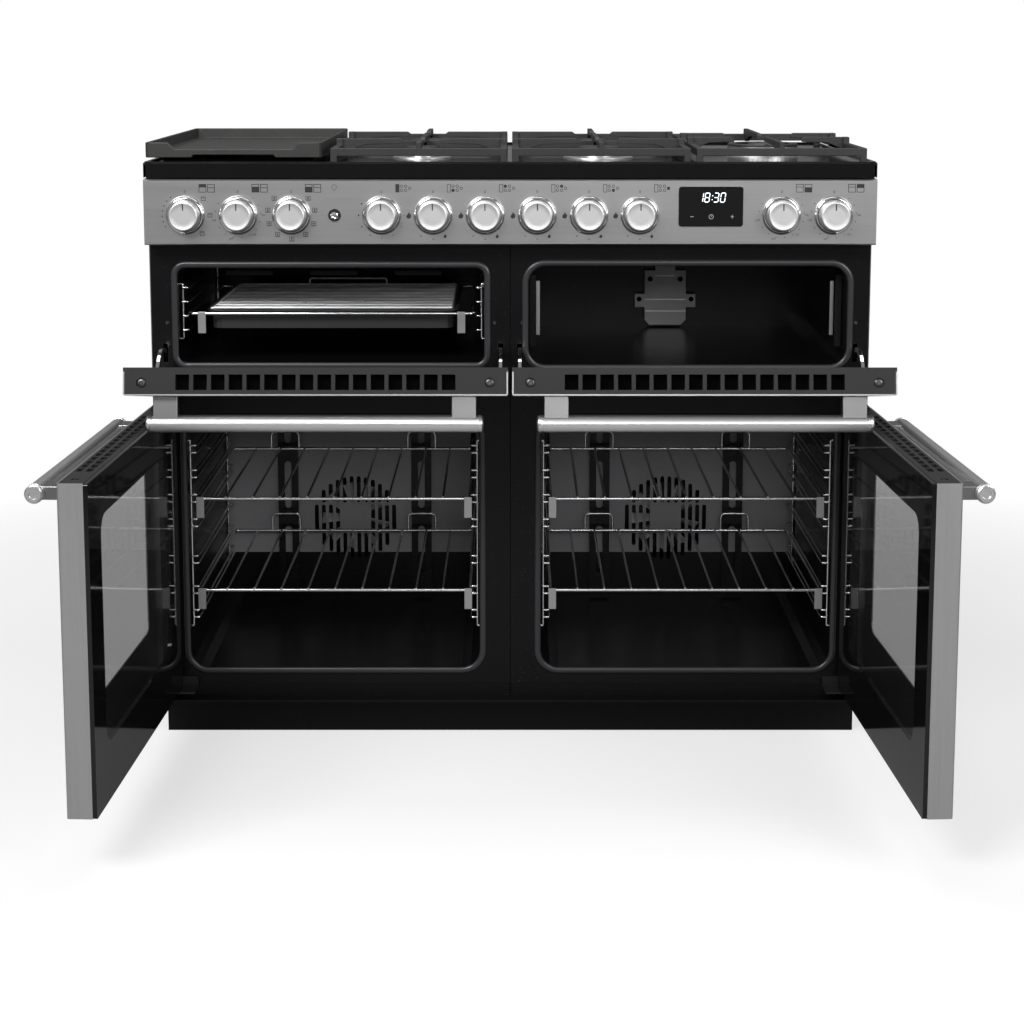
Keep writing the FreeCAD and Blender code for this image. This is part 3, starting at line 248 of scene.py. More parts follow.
grid_chrome = varied("grid chrome", (0.9, 0.9, 0.9), 0.24, 0.12, 400.0, bare_metal)
plated = varied("plated sheet", (0.55, 0.55, 0.56), 0.26, 0.16, 60.0, bare_metal, 3.0)
knob_metal = varied("satin knob", (0.72, 0.72, 0.72), 0.36, 0.12, 1.0, bare_metal, stretch=(800, 20, 800))
burner_alloy = varied("burner alloy", (0.62, 0.62, 0.62), 0.30, 0.16, 90.0, bare_metal, 3.0)
back_sheet = varied("galvanised back", (0.34, 0.35, 0.36), 0.35, 0.25, 22.0, bare_metal, 4.0)
brass = varied("brass tap", (0.62, 0.45, 0.2), 0.3, 0.2, 40.0, bare_metal)
screw_steel = varied("dark screw", (0.09, 0.09, 0.093), 0.28, 0.14, 300.0, bare_metal)
element_steel = varied("element sheath", (0.008, 0.008, 0.0085), 0.4, 0.2, 120.0, Specular_IOR_Level=0.15)
oven_enamel = enamel("oven enamel", 0.0035, 0.14, 0.20)
plinth_paint = enamel("plinth paint", 0.0025, 0.04, 0.35, 420.0, 0.13)
duct_enamel = enamel("rear duct enamel", 0.008, 0.20, 0.22)
pan_enamel = enamel("pan enamel", 0.03, 0.16, 0.16)
hob_enamel = varied("hob enamel", (0.003, 0.003, 0.0033), 0.06, 0.08, 14.0, detail=3.0,
                    Specular_IOR_Level=0.35)
support_iron = cast_iron("pan support iron", 0.016, 0.48)
griddle_iron = cast_iron("griddle iron", 0.020, 0.46, (1.06, 1.0, 0.96))
cap_enamel = cast_iron("burner cap enamel", 0.02, 0.42)
seal_rubber = grained("door seal", (0.026, 0.026, 0.029), 0.30, 500.0, 0.08)
side_paint = grained("side panel paint", (0.05, 0.05, 0.052), 0.42, 1400.0, 0.12)
black_trim = grained("black moulding", (0.012, 0.012, 0.013), 0.42, 1200.0, 0.15, Specular_IOR_Level=0.35)
foot_plastic = grained("foot plastic", (0.03, 0.03, 0.03), 0.6, 800.0, 0.2, 0.0004)
black_glass = varied("black printed glass", (0.004, 0.004, 0.004), 0.03, 0.05, 6.0, IOR=1.5)
window_glass = varied("door window", (0.012, 0.012, 0.013), 0.02, 0.03, 8.0, IOR=1.5, Alpha=0.50)
# Near-black: painted shade under the door caps' slots; also the frame seam and the bracket screws.
cavity_black = varied("unlit hollow", (0.0012, 0.0012, 0.0012), 0.8, 0.15, 200.0, Specular_IOR_Level=0.04)
# Dark print; the same dark also paints the burners' flame ports as painted shade.
ink_and_port_shade = varied("panel ink", (0.015, 0.015, 0.016), 0.45, 0.1, 300.0)
touch_mark = varied("touch mark", (0.42, 0.43, 0.45), 0.35, 0.1, 300.0)
lit = varied("clock light", (0.9, 0.95, 1.0), 0.35, 0.1, 300.0,
             Emission_Color=(0.86, 0.93, 1.0, 1.0), Emission_Strength=1.0)

# Painted shade: the rear panels are painted pale down to the level of the lower shelf and nearly black under
# it, where the shelf's shade falls.
baffle_enamel = vitreous("rear panel enamel", 0.44, 0.22)
painted_shade_top = 186 * mm
baffle_enamel.set("Base Color", baffle_enamel.between(baffle_enamel.axis("Z") > painted_shade_top,
                                                      (0.004, 0.004, 0.0042), (0.44, 0.44, 0.455)))

finishes = {
    "side_panels": side_paint, "rear_panel": back_sheet, "base_frame": plinth_paint, "plinth": plinth_paint,
    "levelling_feet": foot_plastic, "control_panel": panel_steel, "clock_module": black_glass,
    "taps_and_switches": brass, "hob_top": hob_enamel, "ceramic_zone": black_glass,
    "oven_liners": oven_enamel, "upper_liners": oven_enamel, "fan_baffles": baffle_enamel,
    "fan_motors": back_sheet, "heating_elements": element_steel, "door_hinges": black_trim,
    "fan_left": highlight_pale_fan_alloy, "fan_right": highlight_pale_fan_alloy, "grill_pan": pan_enamel,
}
for node, thing in nodes.items():
    if node.endswith("_skin"):
        finishes[node] = door_steel if node.startswith("lower") else drop_steel
    elif node.endswith("_frame") and "door" in node:
        finishes[node] = black_trim
    paint = finishes.get(node)
    if paint:
        thing.data.materials.clear()
        thing.data.materials.append(paint.material)


# ---- mesh helpers ----
def placed(name, data):
    """An object of the scene around a mesh, a curve, a light or a camera."""
    thing = bpy.data.objects.new(name, data)
    bpy.context.scene.collection.objects.link(thing)
    return thing


def built(name, points, faces, paint, sharp=30.0):
    """A mesh object from points and faces, smooth except across sharp corners."""
    mesh = bpy.data.meshes.new(name)
    mesh.from_pydata([tuple(p) for p in points], [], faces)
    mesh.validate()
    work = bmesh.new()
    work.from_mesh(mesh)
    bmesh.ops.remove_doubles(work, verts=work.verts, dist=1e-6)
    bmesh.ops.recalc_face_normals(work, faces=work.faces)
    work.to_mesh(mesh)
    work.free()
    mesh.shade_smooth()
    mesh.set_sharp_from_angle(angle=math.radians(sharp))
    mesh.materials.append(paint.material)
    return placed(name, mesh)


def detail(thing, node):
    """The piece goes with a CAD node's body."""
    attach(thing, home[node])
    return thing


def fitted(thing, node):
    """The piece goes with a CAD node and is seen in its stead."""
    detail(thing, node)
    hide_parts(node)
    return thing


def lofted(name, rings, paint, capped=True, closed=False, sharp=30.0):
    """Skin over rings of equally many points."""
    count = len(rings[0])
    points = [p for ring in rings for p in ring]
    faces = []
    pairs = [(k, k + 1) for k in range(len(rings) - 1)]
    if closed:
        pairs.append((len(rings) - 1, 0))
    for low, high in pairs:
        for k in range(count):
            after = (k + 1) % count
            faces.append((low * count + k, low * count + after, high * count + after, high * count + k))
    if capped and not closed:
        faces.append(tuple(range(count)))
        faces.append(tuple(range((len(rings) - 1) * count, len(rings) * count)))
    return built(name, points, faces, paint, sharp)


def turned_on_lathe(name, foot, axis, profile, paint, steps=64):
    """A turned form: profile gives (distance along the axis, radius) in millimetres."""
    aim = Vector((0, 0, 1)).rotation_difference(Vector(axis))
    rings = []
    for along, radius in ((a * mm, r * mm) for a, r in profile):
        ring = []
        for k in range(steps):
            turn = 2 * math.pi * k / steps
            spoke = Vector((radius * math.cos(turn), radius * math.sin(turn), along))
            ring.append(Vector(foot) + aim @ spoke)
        rings.append(ring)
    return lofted(name, rings, paint)


def rounded_loop(x0, x1, z0, z1, radius, steps=10):
    """The outline of a rounded rectangle in the XZ plane."""
    loop = []
    for cx, cz, start in ((x1 - radius, z1 - radius, 0), (x0 + radius, z1 - radius, 90),
                          (x0 + radius, z0 + radius, 180), (x1 - radius, z0 + radius, 270)):
        for k in range(steps + 1):
            turn = math.radians(start + 90.0 * k / steps)
            loop.append((cx + radius * math.cos(turn), cz + radius * math.sin(turn)))
    return loop


def plate(name, loop, y0, y1, paint, edge=0.0):
    """A plate of an XZ outline from y0 to y1 with softened edges."""
    rings = [[(x, y0, z) for x, z in loop], [(x, y1, z) for x, z in loop]]
    return softened(lofted(name, rings, paint), edge)


def box_piece(name, low, high, paint, edge=0.0):
    loop = [(low[0], low[2]), (high[0], low[2]), (high[0], high[2]), (low[0], high[2])]
    return plate(name, loop, low[1], high[1], paint, edge)


def slot_loop(x, z, wide, tall, steps=8):
    """The outline of an upright or level slot with round ends."""
    radius = min(wide, tall) / 2 * 0.999
    return rounded_loop(x - wide / 2, x + wide / 2, z - tall / 2, z + tall / 2, radius, steps)


def pierced(name, outer, holes, y, thick, paint, edge=0.3 * mm):
    """A sheet of an XZ outline with holes through it; its front face is at y."""
    curve = bpy.data.curves.new(name, "CURVE")
    curve.dimensions, curve.fill_mode, curve.extrude = "2D", "BOTH", thick / 2
    for loop in (outer, *holes):
        spline = curve.splines.new("POLY")
        spline.points.add(len(loop) - 1)
        for point, (a, b) in zip(spline.points, loop):
            point.co = (a, b, 0, 1)
        spline.use_cyclic_u = True
    drawn = placed(name, curve)
    seen = drawn.evaluated_get(bpy.context.evaluated_depsgraph_get())
    shape = seen.to_mesh()
    points = [(v.co.x, y + thick / 2 - v.co.z, v.co.y) for v in shape.vertices]
    faces = [tuple(f.vertices) for f in shape.polygons]
    seen.to_mesh_clear()
    bpy.data.objects.remove(drawn)
    return softened(built(name, points, faces, paint), edge)


def softened(thing, edge):
    if edge:
        bevel = thing.modifiers.new("edge", "BEVEL")
        bevel.width, bevel.segments, bevel.limit_method = edge, 3, "ANGLE"
        bevel.angle_limit = math.radians(32)
        bevel.harden_normals = True
    return thing


def copy_of(node, name, paint, edge):
    """The CAD node's own form with softened edges."""
    thing = placed(name, nodes[node].data.copy())
    work = bmesh.new()
    work.from_mesh(thing.data)
    bmesh.ops.remove_doubles(work, verts=work.verts, dist=1e-5)
    bmesh.ops.dissolve_limit(work, angle_limit=math.radians(1), verts=work.verts, edges=work.edges)
    work.to_mesh(thing.data)
    work.free()
    thing.data.shade_smooth()
    thing.data.set_sharp_from_angle(angle=math.radians(25))
    thing.data.materials.clear()
    thing.data.materials.append(paint.material)
    return fitted(softened(thing, edge), node)


def bent(points, radius, steps=5):
    """A path whose corners are rounded."""
    points = [Vector(p) for p in points]
    path = [points[0]]
    for before, corner, after in zip(points, points[1:], points[2:]):
        a, b = (before - corner).normalized(), (after - corner).normalized()
        reach = min(radius, (before - corner).length / 2, (after - corner).length / 2)
        for k in range(steps + 1):
            t = k / steps
            path.append((1 - t) ** 2 * (corner + a * reach) + 2 * t * (1 - t) * corner
                        + t ** 2 * (corner + b * reach))
    return path + [points[-1]]


def wires(name, runs, radius, paint, sides=3):
    """Round wires along several paths."""
    curve = bpy.data.curves.new(name, "CURVE")
    curve.dimensions = "3D"
    curve.bevel_depth, curve.bevel_resolution, curve.use_fill_caps = radius, sides, True
    for run in runs:
        spline = curve.splines.new("POLY")
        spline.points.add(len(run) - 1)
        for point, place in zip(spline.points, run):
            point.co = (*place, 1.0)
    curve.materials.append(paint.material)
    return placed(name, curve)


def swung(thing, side, hinge, axis, angle):
    """Turns a left door's piece from its closed place to the open one, on either side of the cabinet."""
    thing.data.transform(Matrix.Translation(hinge) @ Matrix.Rotation(angle, 4, axis)
                         @ Matrix.Translation(-hinge))
    if side == "right":
        thing.data.transform(Matrix.Scale(-1, 4, (1, 0, 0)))
        if thing.type == "MESH":
            thing.data.flip_normals()
    return thing


def opened_lower(thing, side):
    return swung(thing, side, lower_hinge, "Z", -lower_open)


def opened_upper(thing, side):
    return swung(thing, side, upper_hinge, "X", upper_open)


# ---- knobs, bezels and lamp button ----
forward = (0, -1, 0)


def make_knob(node, x):
    foot = (x, face + 1 * mm, knob_z)
    profile = [(0, 8), (1.0, 23.6), (2.4, 24.0), (21.5, 22.9), (24.0, 22.3), (25.2, 21.6), (25.9, 20.4),
               (26.0, 19.6), (25.75, 18.9), (25.75, 12), (25.75, 0)]
    fitted(turned_on_lathe(node + "_body", foot, forward, profile, knob_metal, 96), node)
    top = face - 24.75 * mm
    line = rounded_loop(x - 0.9 * mm, x + 0.9 * mm, knob_z + 8.5 * mm, knob_z + 19 * mm, 0.8 * mm, 4)
    detail(plate(node + "_pointer", line, top - 0.08 * mm, top + 0.4 * mm, ink_and_port_shade), node)


def make_bezel(x):
    profile = [(0, 24.8), (0, 29.4), (1.0, 29.4), (2.6, 28.9), (4.6, 27.6), (5.8, 26.2), (6.0, 25.4),
               (5.6, 24.8)]
    ring = turned_on_lathe("bezel", (x, face, knob_z), forward, profile, chrome, 96)
    fitted(close_ring(ring), "knob_bezels")


def close_ring(thing):
    """Takes the end caps off a turned ring, so that its hole stays open."""
    work = bmesh.new()
    work.from_mesh(thing.data)
    bmesh.ops.delete(work, geom=[f for f in work.faces if len(f.verts) > 8], context="FACES")
    work.to_mesh(thing.data)
    work.free()
    return thing


for node, x in knobs.items():
    make_knob(node, x)
    make_bezel(x)
button_foot = (button_x, face, knob_z)
ring_profile = [(-7, 6.6), (-7, 7.6), (0, 7.7), (0, 9.6), (2.2, 9.3), (3, 8.6), (2.6, 6.6)]
button_profile = [(-6.8, 6.2), (4.5, 6.2), (6.2, 5.7), (6.9, 4.6), (6.5, 3.4), (6.0, 0)]
button_ring = turned_on_lathe("button_ring", button_foot, forward, ring_profile, black_trim)
detail(close_ring(button_ring), "knob_bezels")
fitted(turned_on_lathe("lamp_button_cap", button_foot, forward, button_profile, chrome), "lamp_button")


# ---- hob: burners, supports, griddle ----
def make_burner(name, x, y, crown, wok=False):
    """Dish, crown with flame ports and cap of one burner; the wok burner has a ring round a small cap."""
    up = (0, 0, 1)
    c = crown / mm
    dish = [(0.1, c + 19.5), (1.8, c + 18.8), (2.9, c + 14), (2.2, c + 6), (2.0, c - 1)]
    crown_form = [(2.0, c - 1), (4.5, c - 0.5), (5.5, c - 2.5), (12.2, c - 2.8), (12.9, c - 4.5), (12.9, 6)]
    foot = (x, y, cooking_surface)
    fitted(turned_on_lathe(name + "_dish", foot, up, dish, burner_alloy, 96), "burner_bases")
    fitted(turned_on_lathe(name + "_crown", foot, up, crown_form, burner_alloy, 96), "burner_bases")
    ports = int(c * 0.75)
    for k in range(ports):
        turn = 2 * math.pi * k / ports
        spot = Vector((math.cos(turn), math.sin(turn), 0))
        place = Vector(foot) + spot * (crown - 2.75 * mm) + Vector((0, 0, 9.3 * mm))
        # Each flame port is a thin dark disc on the crown: painted shade where the port's hole is.
        port = turned_on_lathe(f"{name}_port_{k}", place, spot, [(0, 1.3), (0.15, 1.3)], ink_and_port_shade, 10)
        detail(port, "burner_bases")
    cap_foot = (x, y, cooking_surface + 13 * mm)
    if wok:
        cap = [(0, 23), (2.6, 23.6), (3.9, 22.2), (4.0, 0)]
        outer = [(0, c - 13.8), (0, c - 3.2), (2.4, c - 3.2), (3.8, c - 5.2), (3.8, c - 12), (2.4, c - 13.8)]
        ring = turned_on_lathe(name + "_ring", cap_foot, up, outer, cap_enamel, 96)
        detail(close_ring(ring), "burner_caps")
    else:
        cap = [(0, c - 3.1), (3.0, c - 3.1), (4.4, c - 4.2), (5.0, c - 6.5), (5.0, 0)]
    fitted(turned_on_lathe(name + "_cap", cap_foot, up, cap, cap_enamel, 96), "burner_caps")


burner_rows = (front + 130 * mm, front + 251 * mm, front + 372 * mm)
left_burners, middle_burners, right_burners = -139 * mm, 138.5 * mm, 412 * mm
make_burner("burner_1", left_burners, burner_rows[0], 27 * mm)
make_burner("burner_2", left_burners, burner_rows[2], 36 * mm)
make_burner("burner_3", middle_burners, burner_rows[0], 36 * mm)
make_burner("burner_4", middle_burners, burner_rows[2], 27 * mm)
make_burner("burner_5", right_burners, burner_rows[1], 60 * mm, True)
for side in ("left", "middle", "right"):
    copy_of(f"pan_support_{side}", f"cast_support_{side}", support_iron, 1.2 * mm)
copy_of("griddle", "cast_griddle", griddle_iron, 1.6 * mm)


# ---- door seals ----
def make_seal(name, x0, x1, z0, z1, corner, wide=10 * mm, proud=3.4 * mm):
    rings = []
    for k in range(9):
        turn = math.pi * k / 8
        spread = wide / 2 - wide / 2 * math.cos(turn)
        y = front - proud * math.sin(turn) ** 0.8
        loop = rounded_loop(x0 - spread, x1 + spread, z0 - spread, z1 + spread, corner + spread, 12)
        rings.append([(x, y, z) for x, z in loop])
    fitted(lofted(name, rings, seal_rubber, capped=False, sharp=80), "door_seals")


for side in (-1, 1):
    edges = sorted((side * 47.75 * mm, side * 499.75 * mm))
    make_seal(f"oven_seal_{side + 1}", edges[0], edges[1], 109.5 * mm, 504 * mm, 28 * mm)
make_seal("grill_seal", -508 * mm, -40 * mm, 593.5 * mm, 739.4 * mm, 12 * mm)
make_seal("upper_oven_seal", 28 * mm, 515 * mm, 590 * mm, 742 * mm, 26 * mm)


# ---- racks and shelves ----
rung_heights = [z * mm for z in (188.3, 226.6, 275.2, 333.8, 372.6, 411.7, 450.7)]
rung_gap = 11.5 * mm
rung_offset = 213 * mm
rung_radius, rail_radius = 1.9 * mm, 2.9 * mm
rack_front, rack_back = front + 8 * mm, front + 418 * mm


def make_side_racks():
    runs, posts = [], []
    for oven in (-oven_centre, oven_centre):
        for side in (-1, 1):
            x = oven + side * rung_offset
            wall = oven + side * 225.5 * mm
            post = x + side * 9.5 * mm
            for z in rung_heights:
                for height in (z, z + rung_gap):
                    runs.append(bent([(post, rack_front, height), (x, rack_front, height),
                                      (x, rack_back, height), (post, rack_back, height)], 3 * mm))
            for y in (rack_front + 2 * mm, rack_back - 2 * mm):
                low, high = rung_heights[0] - 14 * mm, rung_heights[-1] + 19 * mm
                posts.append(bent([(wall, y, low), (post, y, low), (post, y, high), (wall, y, high)], 2 * mm))
    fitted(wires("side_rack_rungs", runs, rung_radius, wire_chrome), "shelf_racks")
    fitted(wires("side_rack_posts", posts, rung_radius, wire_chrome), "shelf_racks")


def make_grill_racks():
    runs = []
    low, high, lowest_rung, rung_step = 627 * mm, 712 * mm, 640.5, 22
    y0, y1 = front + 22 * mm, front + 398 * mm
    for side, wall in ((1, -40 * mm), (-1, -508 * mm)):
        x = wall - side * 12 * mm
        post = x + side * 8 * mm
        for y in (y0 + 2 * mm, y1 - 2 * mm):
            runs.append(bent([(wall, y, low), (post, y, low), (post, y, high), (wall, y, high)], 3 * mm))
        for k in range(4):
            z = (lowest_rung + k * rung_step) * mm
            runs.append(bent([(post, y0, z), (x, y0, z), (x, y1, z), (post, y1, z)], 3 * mm))
    detail(wires("grill_runners", runs, rung_radius, wire_chrome), "shelf_racks")


def make_upper_oven_fittings():
    """The folded, screwed bracket on the rear wall and the light strips at the sides."""
    y = front + 416 * mm
    centre = 268 * mm
    half_outline = [(27, 594), (35.7, 603), (35.7, 625), (52.4, 625), (52.4, 648), (35.7, 648), (35.7, 689),
                    (17.5, 689), (17.5, 698)]
    outline = [(centre + x * mm, z * mm) for x, z in half_outline]
    outline += [(centre - x * mm, z * mm) for x, z in reversed(half_outline)]
    detail(plate("bracket_sheet", outline, y, y + 1.5 * mm, bracket_sheet, 0.4 * mm), "shelf_racks")
    for x in (-35.7, 34.2):
        leg = box_piece("bracket_leg", (centre + x * mm, y + 1 * mm, 603 * mm),
                        (centre + (x + 1.5) * mm, y + 13.6 * mm, 625 * mm), bracket_sheet, 0.3 * mm)
        detail(leg, "shelf_racks")
    head = [(0, 4.4), (1.2, 4.2), (1.8, 3.2), (0.9, 1.6), (0.9, 0)]
    for x, z in ((-26, 674), (26, 674), (-45, 639), (45, 639)):
        place = (centre + x * mm, y, z * mm)
        detail(turned_on_lathe("bracket_screw", place, forward, head, cavity_black, 24), "shelf_racks")
    for wide, z in ((17.5, 679.6), (35.7, 638.4), (35.7, 618)):
        detail(box_piece("bracket_fold", (centre - wide * mm, y - 0.9 * mm, (z - 0.9) * mm),
                         (centre + wide * mm, y + 0.2 * mm, (z + 0.9) * mm), plated, 0.4 * mm), "shelf_racks")
    for x0, x1 in ((30.5, 40), (503, 512.5)):
        detail(box_piece("cavity_side_sheet", (x0 * mm, front + 40 * mm, 612 * mm),
                         (x1 * mm, front + 41.5 * mm, 724 * mm), duct_enamel, 0.4 * mm), "shelf_racks")
    for x0, x1 in ((40, 46), (497, 503)):
        detail(box_piece("cavity_strip", (x0 * mm, front + 55 * mm, 628 * mm),
                         (x1 * mm, front + 57 * mm, 713 * mm), plated, 0.5 * mm), "shelf_racks")


def make_end_plates(name, node, centre, reach, y, z):
    """The two small plates that hang from a shelf's or carriage's front rail."""
    for end in (-1, 1):
        x = centre + end * reach
        fitted(box_piece(name, (x - 6 * mm, y, z - 30 * mm), (x + 6 * mm, y + 2 * mm, z + 3 * mm), plated,
                         0.5 * mm), node)


def hoop(x0, x1, y, z, tall, radius):
    """A wire bow that stands up from a rear rail."""
    return bent([(x0, y, z), (x0, y, z + tall), (x1, y, z + tall), (x1, y, z)], radius)


def make_shelf(side, level, name):
    """A chrome shelf: frame, nine front-to-back bars, two rear hoops and two front plates."""
    z = level + 5.3 * mm
    reach, w = 211 * mm, 3 * mm
    y0, y1 = front + 5 * mm, front + 405 * mm
    centre = side * oven_centre
    outer = [(centre - reach, y0 + w, z), (centre + reach, y0 + w, z), (centre + reach, y1 - w, z),
             (centre - reach, y1 - w, z), (centre - reach, y0 + w, z)]
    node = f"{'left' if side < 0 else 'right'}_shelf_{name}"
    fitted(wires(node + "_frame", [bent(outer, 9 * mm)], rail_radius, wire_chrome, 4), node)
    bars = []
    for k in range(1, 10):
        x = centre - reach + k * 2 * reach / 10
        bars.append(bent([(x, y0 + 0.4 * mm, z + 1.4 * mm), (x, y0 + 9 * mm, z + 0.8 * mm),
                          (x, y1 - w, z + 0.8 * mm)], 2 * mm, 3))
    hoops = []
    for end in (-1, 1):
        x = centre + end * (reach - 92 * mm)
        hoops.append(hoop(x - 24 * mm, x + 24 * mm, y1 - w, z, 30 * mm, 8 * mm))
    fitted(wires(node + "_bars", bars + hoops, 2.0 * mm, wire_chrome), node)
    # The bar ends take the paler grid chrome, so that they show as bright dots: painted highlight.
    studs = [[(bar[0].x, y0 + 1 * mm, z + 2.2 * mm), (bar[0].x, y0 + 5 * mm, z + 2.2 * mm)] for bar in bars]
    fitted(wires(node + "_bar_ends", studs, 1.5 * mm, grid_chrome), node)
    make_end_plates(node + "_plate", node, centre, reach - 3 * mm, y0, z)


def make_grill_set():
    """Carriage with its end plates, and the wire grid that lies in the pan."""
    centre = -274 * mm
    z = 667.8 * mm
    rail, w = 217.5 * mm, 3 * mm
    y0, y1 = front + 6 * mm, front + 366 * mm
    loop = [(centre - rail, y1 - w, z), (centre - rail, y0 + w, z), (centre + rail, y0 + w, z),
            (centre + rail, y1 - w, z), (centre - rail, y1 - w, z)]
    fitted(wires("carriage_frame", [bent(loop, 9 * mm)], rail_radius, wire_chrome, 4), "grill_carriage")
    make_end_plates("carriage_plate", "grill_carriage", centre, 199 * mm, y0, z)
    z = 674.9 * mm
    y0, y1 = front + 24 * mm, front + 334 * mm
    x0, x1 = centre - 186 * mm, centre + 186 * mm
    edge = bent([(x0, y0, z), (x1, y0, z), (x1, y1, z), (x0, y1, z), (x0, y0, z)], 8 * mm)
    grip = hoop(centre - 65 * mm, centre + 65 * mm, y1, z, 10 * mm, 6 * mm)
    levels = [y0 + k * (y1 - y0) / 16 for k in range(1, 16)]
    fitted(wires("grid_frame", [edge, grip], 1.95 * mm, grid_chrome), "grill_grid")
    bars = [[(x0, y, z), (x1, y, z)] for y in levels]
    fitted(wires("grid_bars", bars, 0.85 * mm, grid_chrome), "grill_grid")


def make_rear_panel(side):
    """The sheet in front of the fan, with its round-ended slots and the two dark air ducts."""
    y = front + 430 * mm
    centre = side * oven_centre
    outer = rounded_loop(centre - 225.7 * mm, centre + 225.7 * mm, 109.8 * mm, 503.7 * mm, 28 * mm)
    reach, row, bridge = 75 * mm, 23.5 * mm, 3.6 * mm
    holes = []
    for k in range(12):
        x = (k - 5.5) * 12.4 * mm
        limit = math.sqrt(reach ** 2 - x ** 2)
        for low, high in ((row + bridge, reach), (-row, row), (-reach, -row - bridge)):
            z0, z1 = max(low, -limit), min(high, limit)
            plain_centre = low < 0 < high and k in (4, 5, 6, 7)
            if z1 - z0 > 8 * mm and not plain_centre:
                holes.append(slot_loop(centre + x, fan_z + (z0 + z1) / 2, 7.0 * mm, z1 - z0, 5))
    fitted(pierced(f"rear_panel_{side + 1}", outer, holes, y, 1.5 * mm, baffle_enamel), "fan_baffles")
    for duct in (-1, 1):
        x = centre + duct * 117 * mm
        x0, x1 = x - 17.5 * mm, x + 17.5 * mm
        z0, z1 = 121.5 * mm, 492 * mm
        face_outline = [(x0, z0), (x1, z0), (x1, z1), (x0, z1)]
        vents = [slot_loop(x, (193.5 + 116 * k) * mm, 12 * mm, 84 * mm, 5) for k in range(3)]
        t = 1.2 * mm
        detail(pierced("duct_face", face_outline, vents, y - 9 * mm, t, duct_enamel), "fan_baffles")
        for low, high in (((x0, z0), (x0 + t, z1)), ((x1 - t, z0), (x1, z1)),
                          ((x0, z0), (x1, z0 + t)), ((x0, z1 - t), (x1, z1))):
            detail(box_piece("duct_wall", (low[0], y - 8.2 * mm, low[1]), (high[0], y, high[1]), duct_enamel),
                   "fan_baffles")


def make_impeller(node):
    """A dark disc and hub with nine raked blades, painted pale so that they read bright: painted highlight.
    """
    low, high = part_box(node)
    x, z = (low.x + high.x) / 2, (low.z + high.z) / 2
    disc = [(0.2, 60), (1.6, 60), (1.6, 20), (5, 14), (14, 12), (15.5, 9), (15.5, 0)]
    fitted(turned_on_lathe(node + "_disc", (x, high.y, z), forward, disc, duct_enamel), node)
    root, tip, half_sheet = high.y - 1.5 * mm, low.y + 0.5 * mm, 0.6 * mm
    blades = 9
    for k in range(blades):
        turn = 2 * math.pi * k / blades + 0.3
        out = Vector((math.cos(turn), 0, math.sin(turn)))
        across = Vector((-math.sin(turn), 0, math.cos(turn)))
        rings = []
        for reach, lean in ((20 * mm, 7 * mm), (40 * mm, 10 * mm), (59 * mm, 14 * mm)):
            foot = Vector((x, 0, z)) + out * reach
            rings.append([foot + across * aside + Vector((0, y, 0)) for aside, y in
                          ((-half_sheet, root), (half_sheet, root), (lean + half_sheet, tip),
                           (lean - half_sheet, tip))])
        fitted(lofted(f"{node}_blade_{k}", rings, highlight_pale_fan_alloy), node)


def make_roof_strip():
    """The slotted dark strip across the back of the left oven, under its roof."""
    y = front + 419.5 * mm
    x0, x1 = -oven_centre - 224 * mm, -oven_centre + 224 * mm
    holes = [slot_loop(-oven_centre + (k - 3) * 59 * mm, z * mm, 43 * mm, 8 * mm, 5)
             for k in range(7) for z in (416, 429)]
    outline = [(x0, 407 * mm), (x1, 407 * mm), (x1, 491 * mm), (x0, 491 * mm)]
    detail(pierced("roof_strip", outline, holes, y, 1 * mm, duct_enamel), "fan_baffles")
    detail(box_piece("roof_strip_hem", (x0, y - 0.8 * mm, 406 * mm), (x1, y + 0.2 * mm, 408 * mm),
                     bracket_sheet, 0.4 * mm), "fan_baffles")


for side in (-1, 1):
    make_rear_panel(side)
for node in ("fan_left", "fan_right"):
    make_impeller(node)
make_roof_strip()
make_side_racks()
make_grill_racks()
make_upper_oven_fittings()
for side in (-1, 1):
    make_shelf(side, rung_heights[1], "low")
    make_shelf(side, rung_heights[4], "high")
make_grill_set()


# ---- doors ----
door_x0, door_x1 = -549.5 * mm, -3 * mm
lower_z0, lower_z1 = 82 * mm, 527 * mm
upper_z1 = 774 * mm


def make_handle(node, top, opened, side):
    """Tube with turned, recessed ends on two flat brackets."""
    x0, x1 = door_x0 + 30.5 * mm, door_x1 - 35.5 * mm
    y, z = door_face - handle_reach, top - 23 * mm
    r = handle_radius / mm - 0.02
    end = [(1, 0), (1, r * 0.42), (0, r * 0.5), (0, r * 0.8), (1, r * 0.86), (1.8, r * 0.97), (2.6, r),
           (7, r), (7.4, r - 0.9), (8.4, r - 0.9), (8.8, r - 0.15)]
    length = (x1 - x0) / mm
    profile = end + [(length - a, q) for a, q in reversed(end)]
    bar = turned_on_lathe(node + "_tube", (x0, y, z), (1, 0, 0), profile, bar_steel, 64)
    fitted(opened(bar, side), node)
    for a in (x0 + 10 * mm, x1 - 45 * mm):
        bracket = box_piece(node + "_bracket", (a, y, z - 9 * mm), (a + 35 * mm, door_face, z + 9 * mm),
                            shaded_bracket_steel, 1.2 * mm)
        fitted(opened(bracket, side), node)


def make_screw(name, place, opened, side, node, size):
    """A recessed star-drive screw, its head facing up on a closed door's top edge."""
    head = [(0, size), (1.0, size), (1.9, size * 0.8), (2.1, size * 0.5), (0.8, size * 0.42), (0.8, 0)]
    detail(opened(turned_on_lathe(name, place, (0, 0, 1), head, screw_steel, 32), side), node)


def make_cap_shade_sheet(name, top, opened, side, node):
    """Painted shade: a dark sheet under a door's vent cap, so that its slots look into the dark."""
    sheet = box_piece(name, (door_x0 + 4 * mm, door_face + 2.6 * mm, top - 14 * mm),
                      (door_x1 - 4 * mm, door_back - 6.5 * mm, top - 12.3 * mm), cavity_black)
    detail(opened(sheet, side), node)


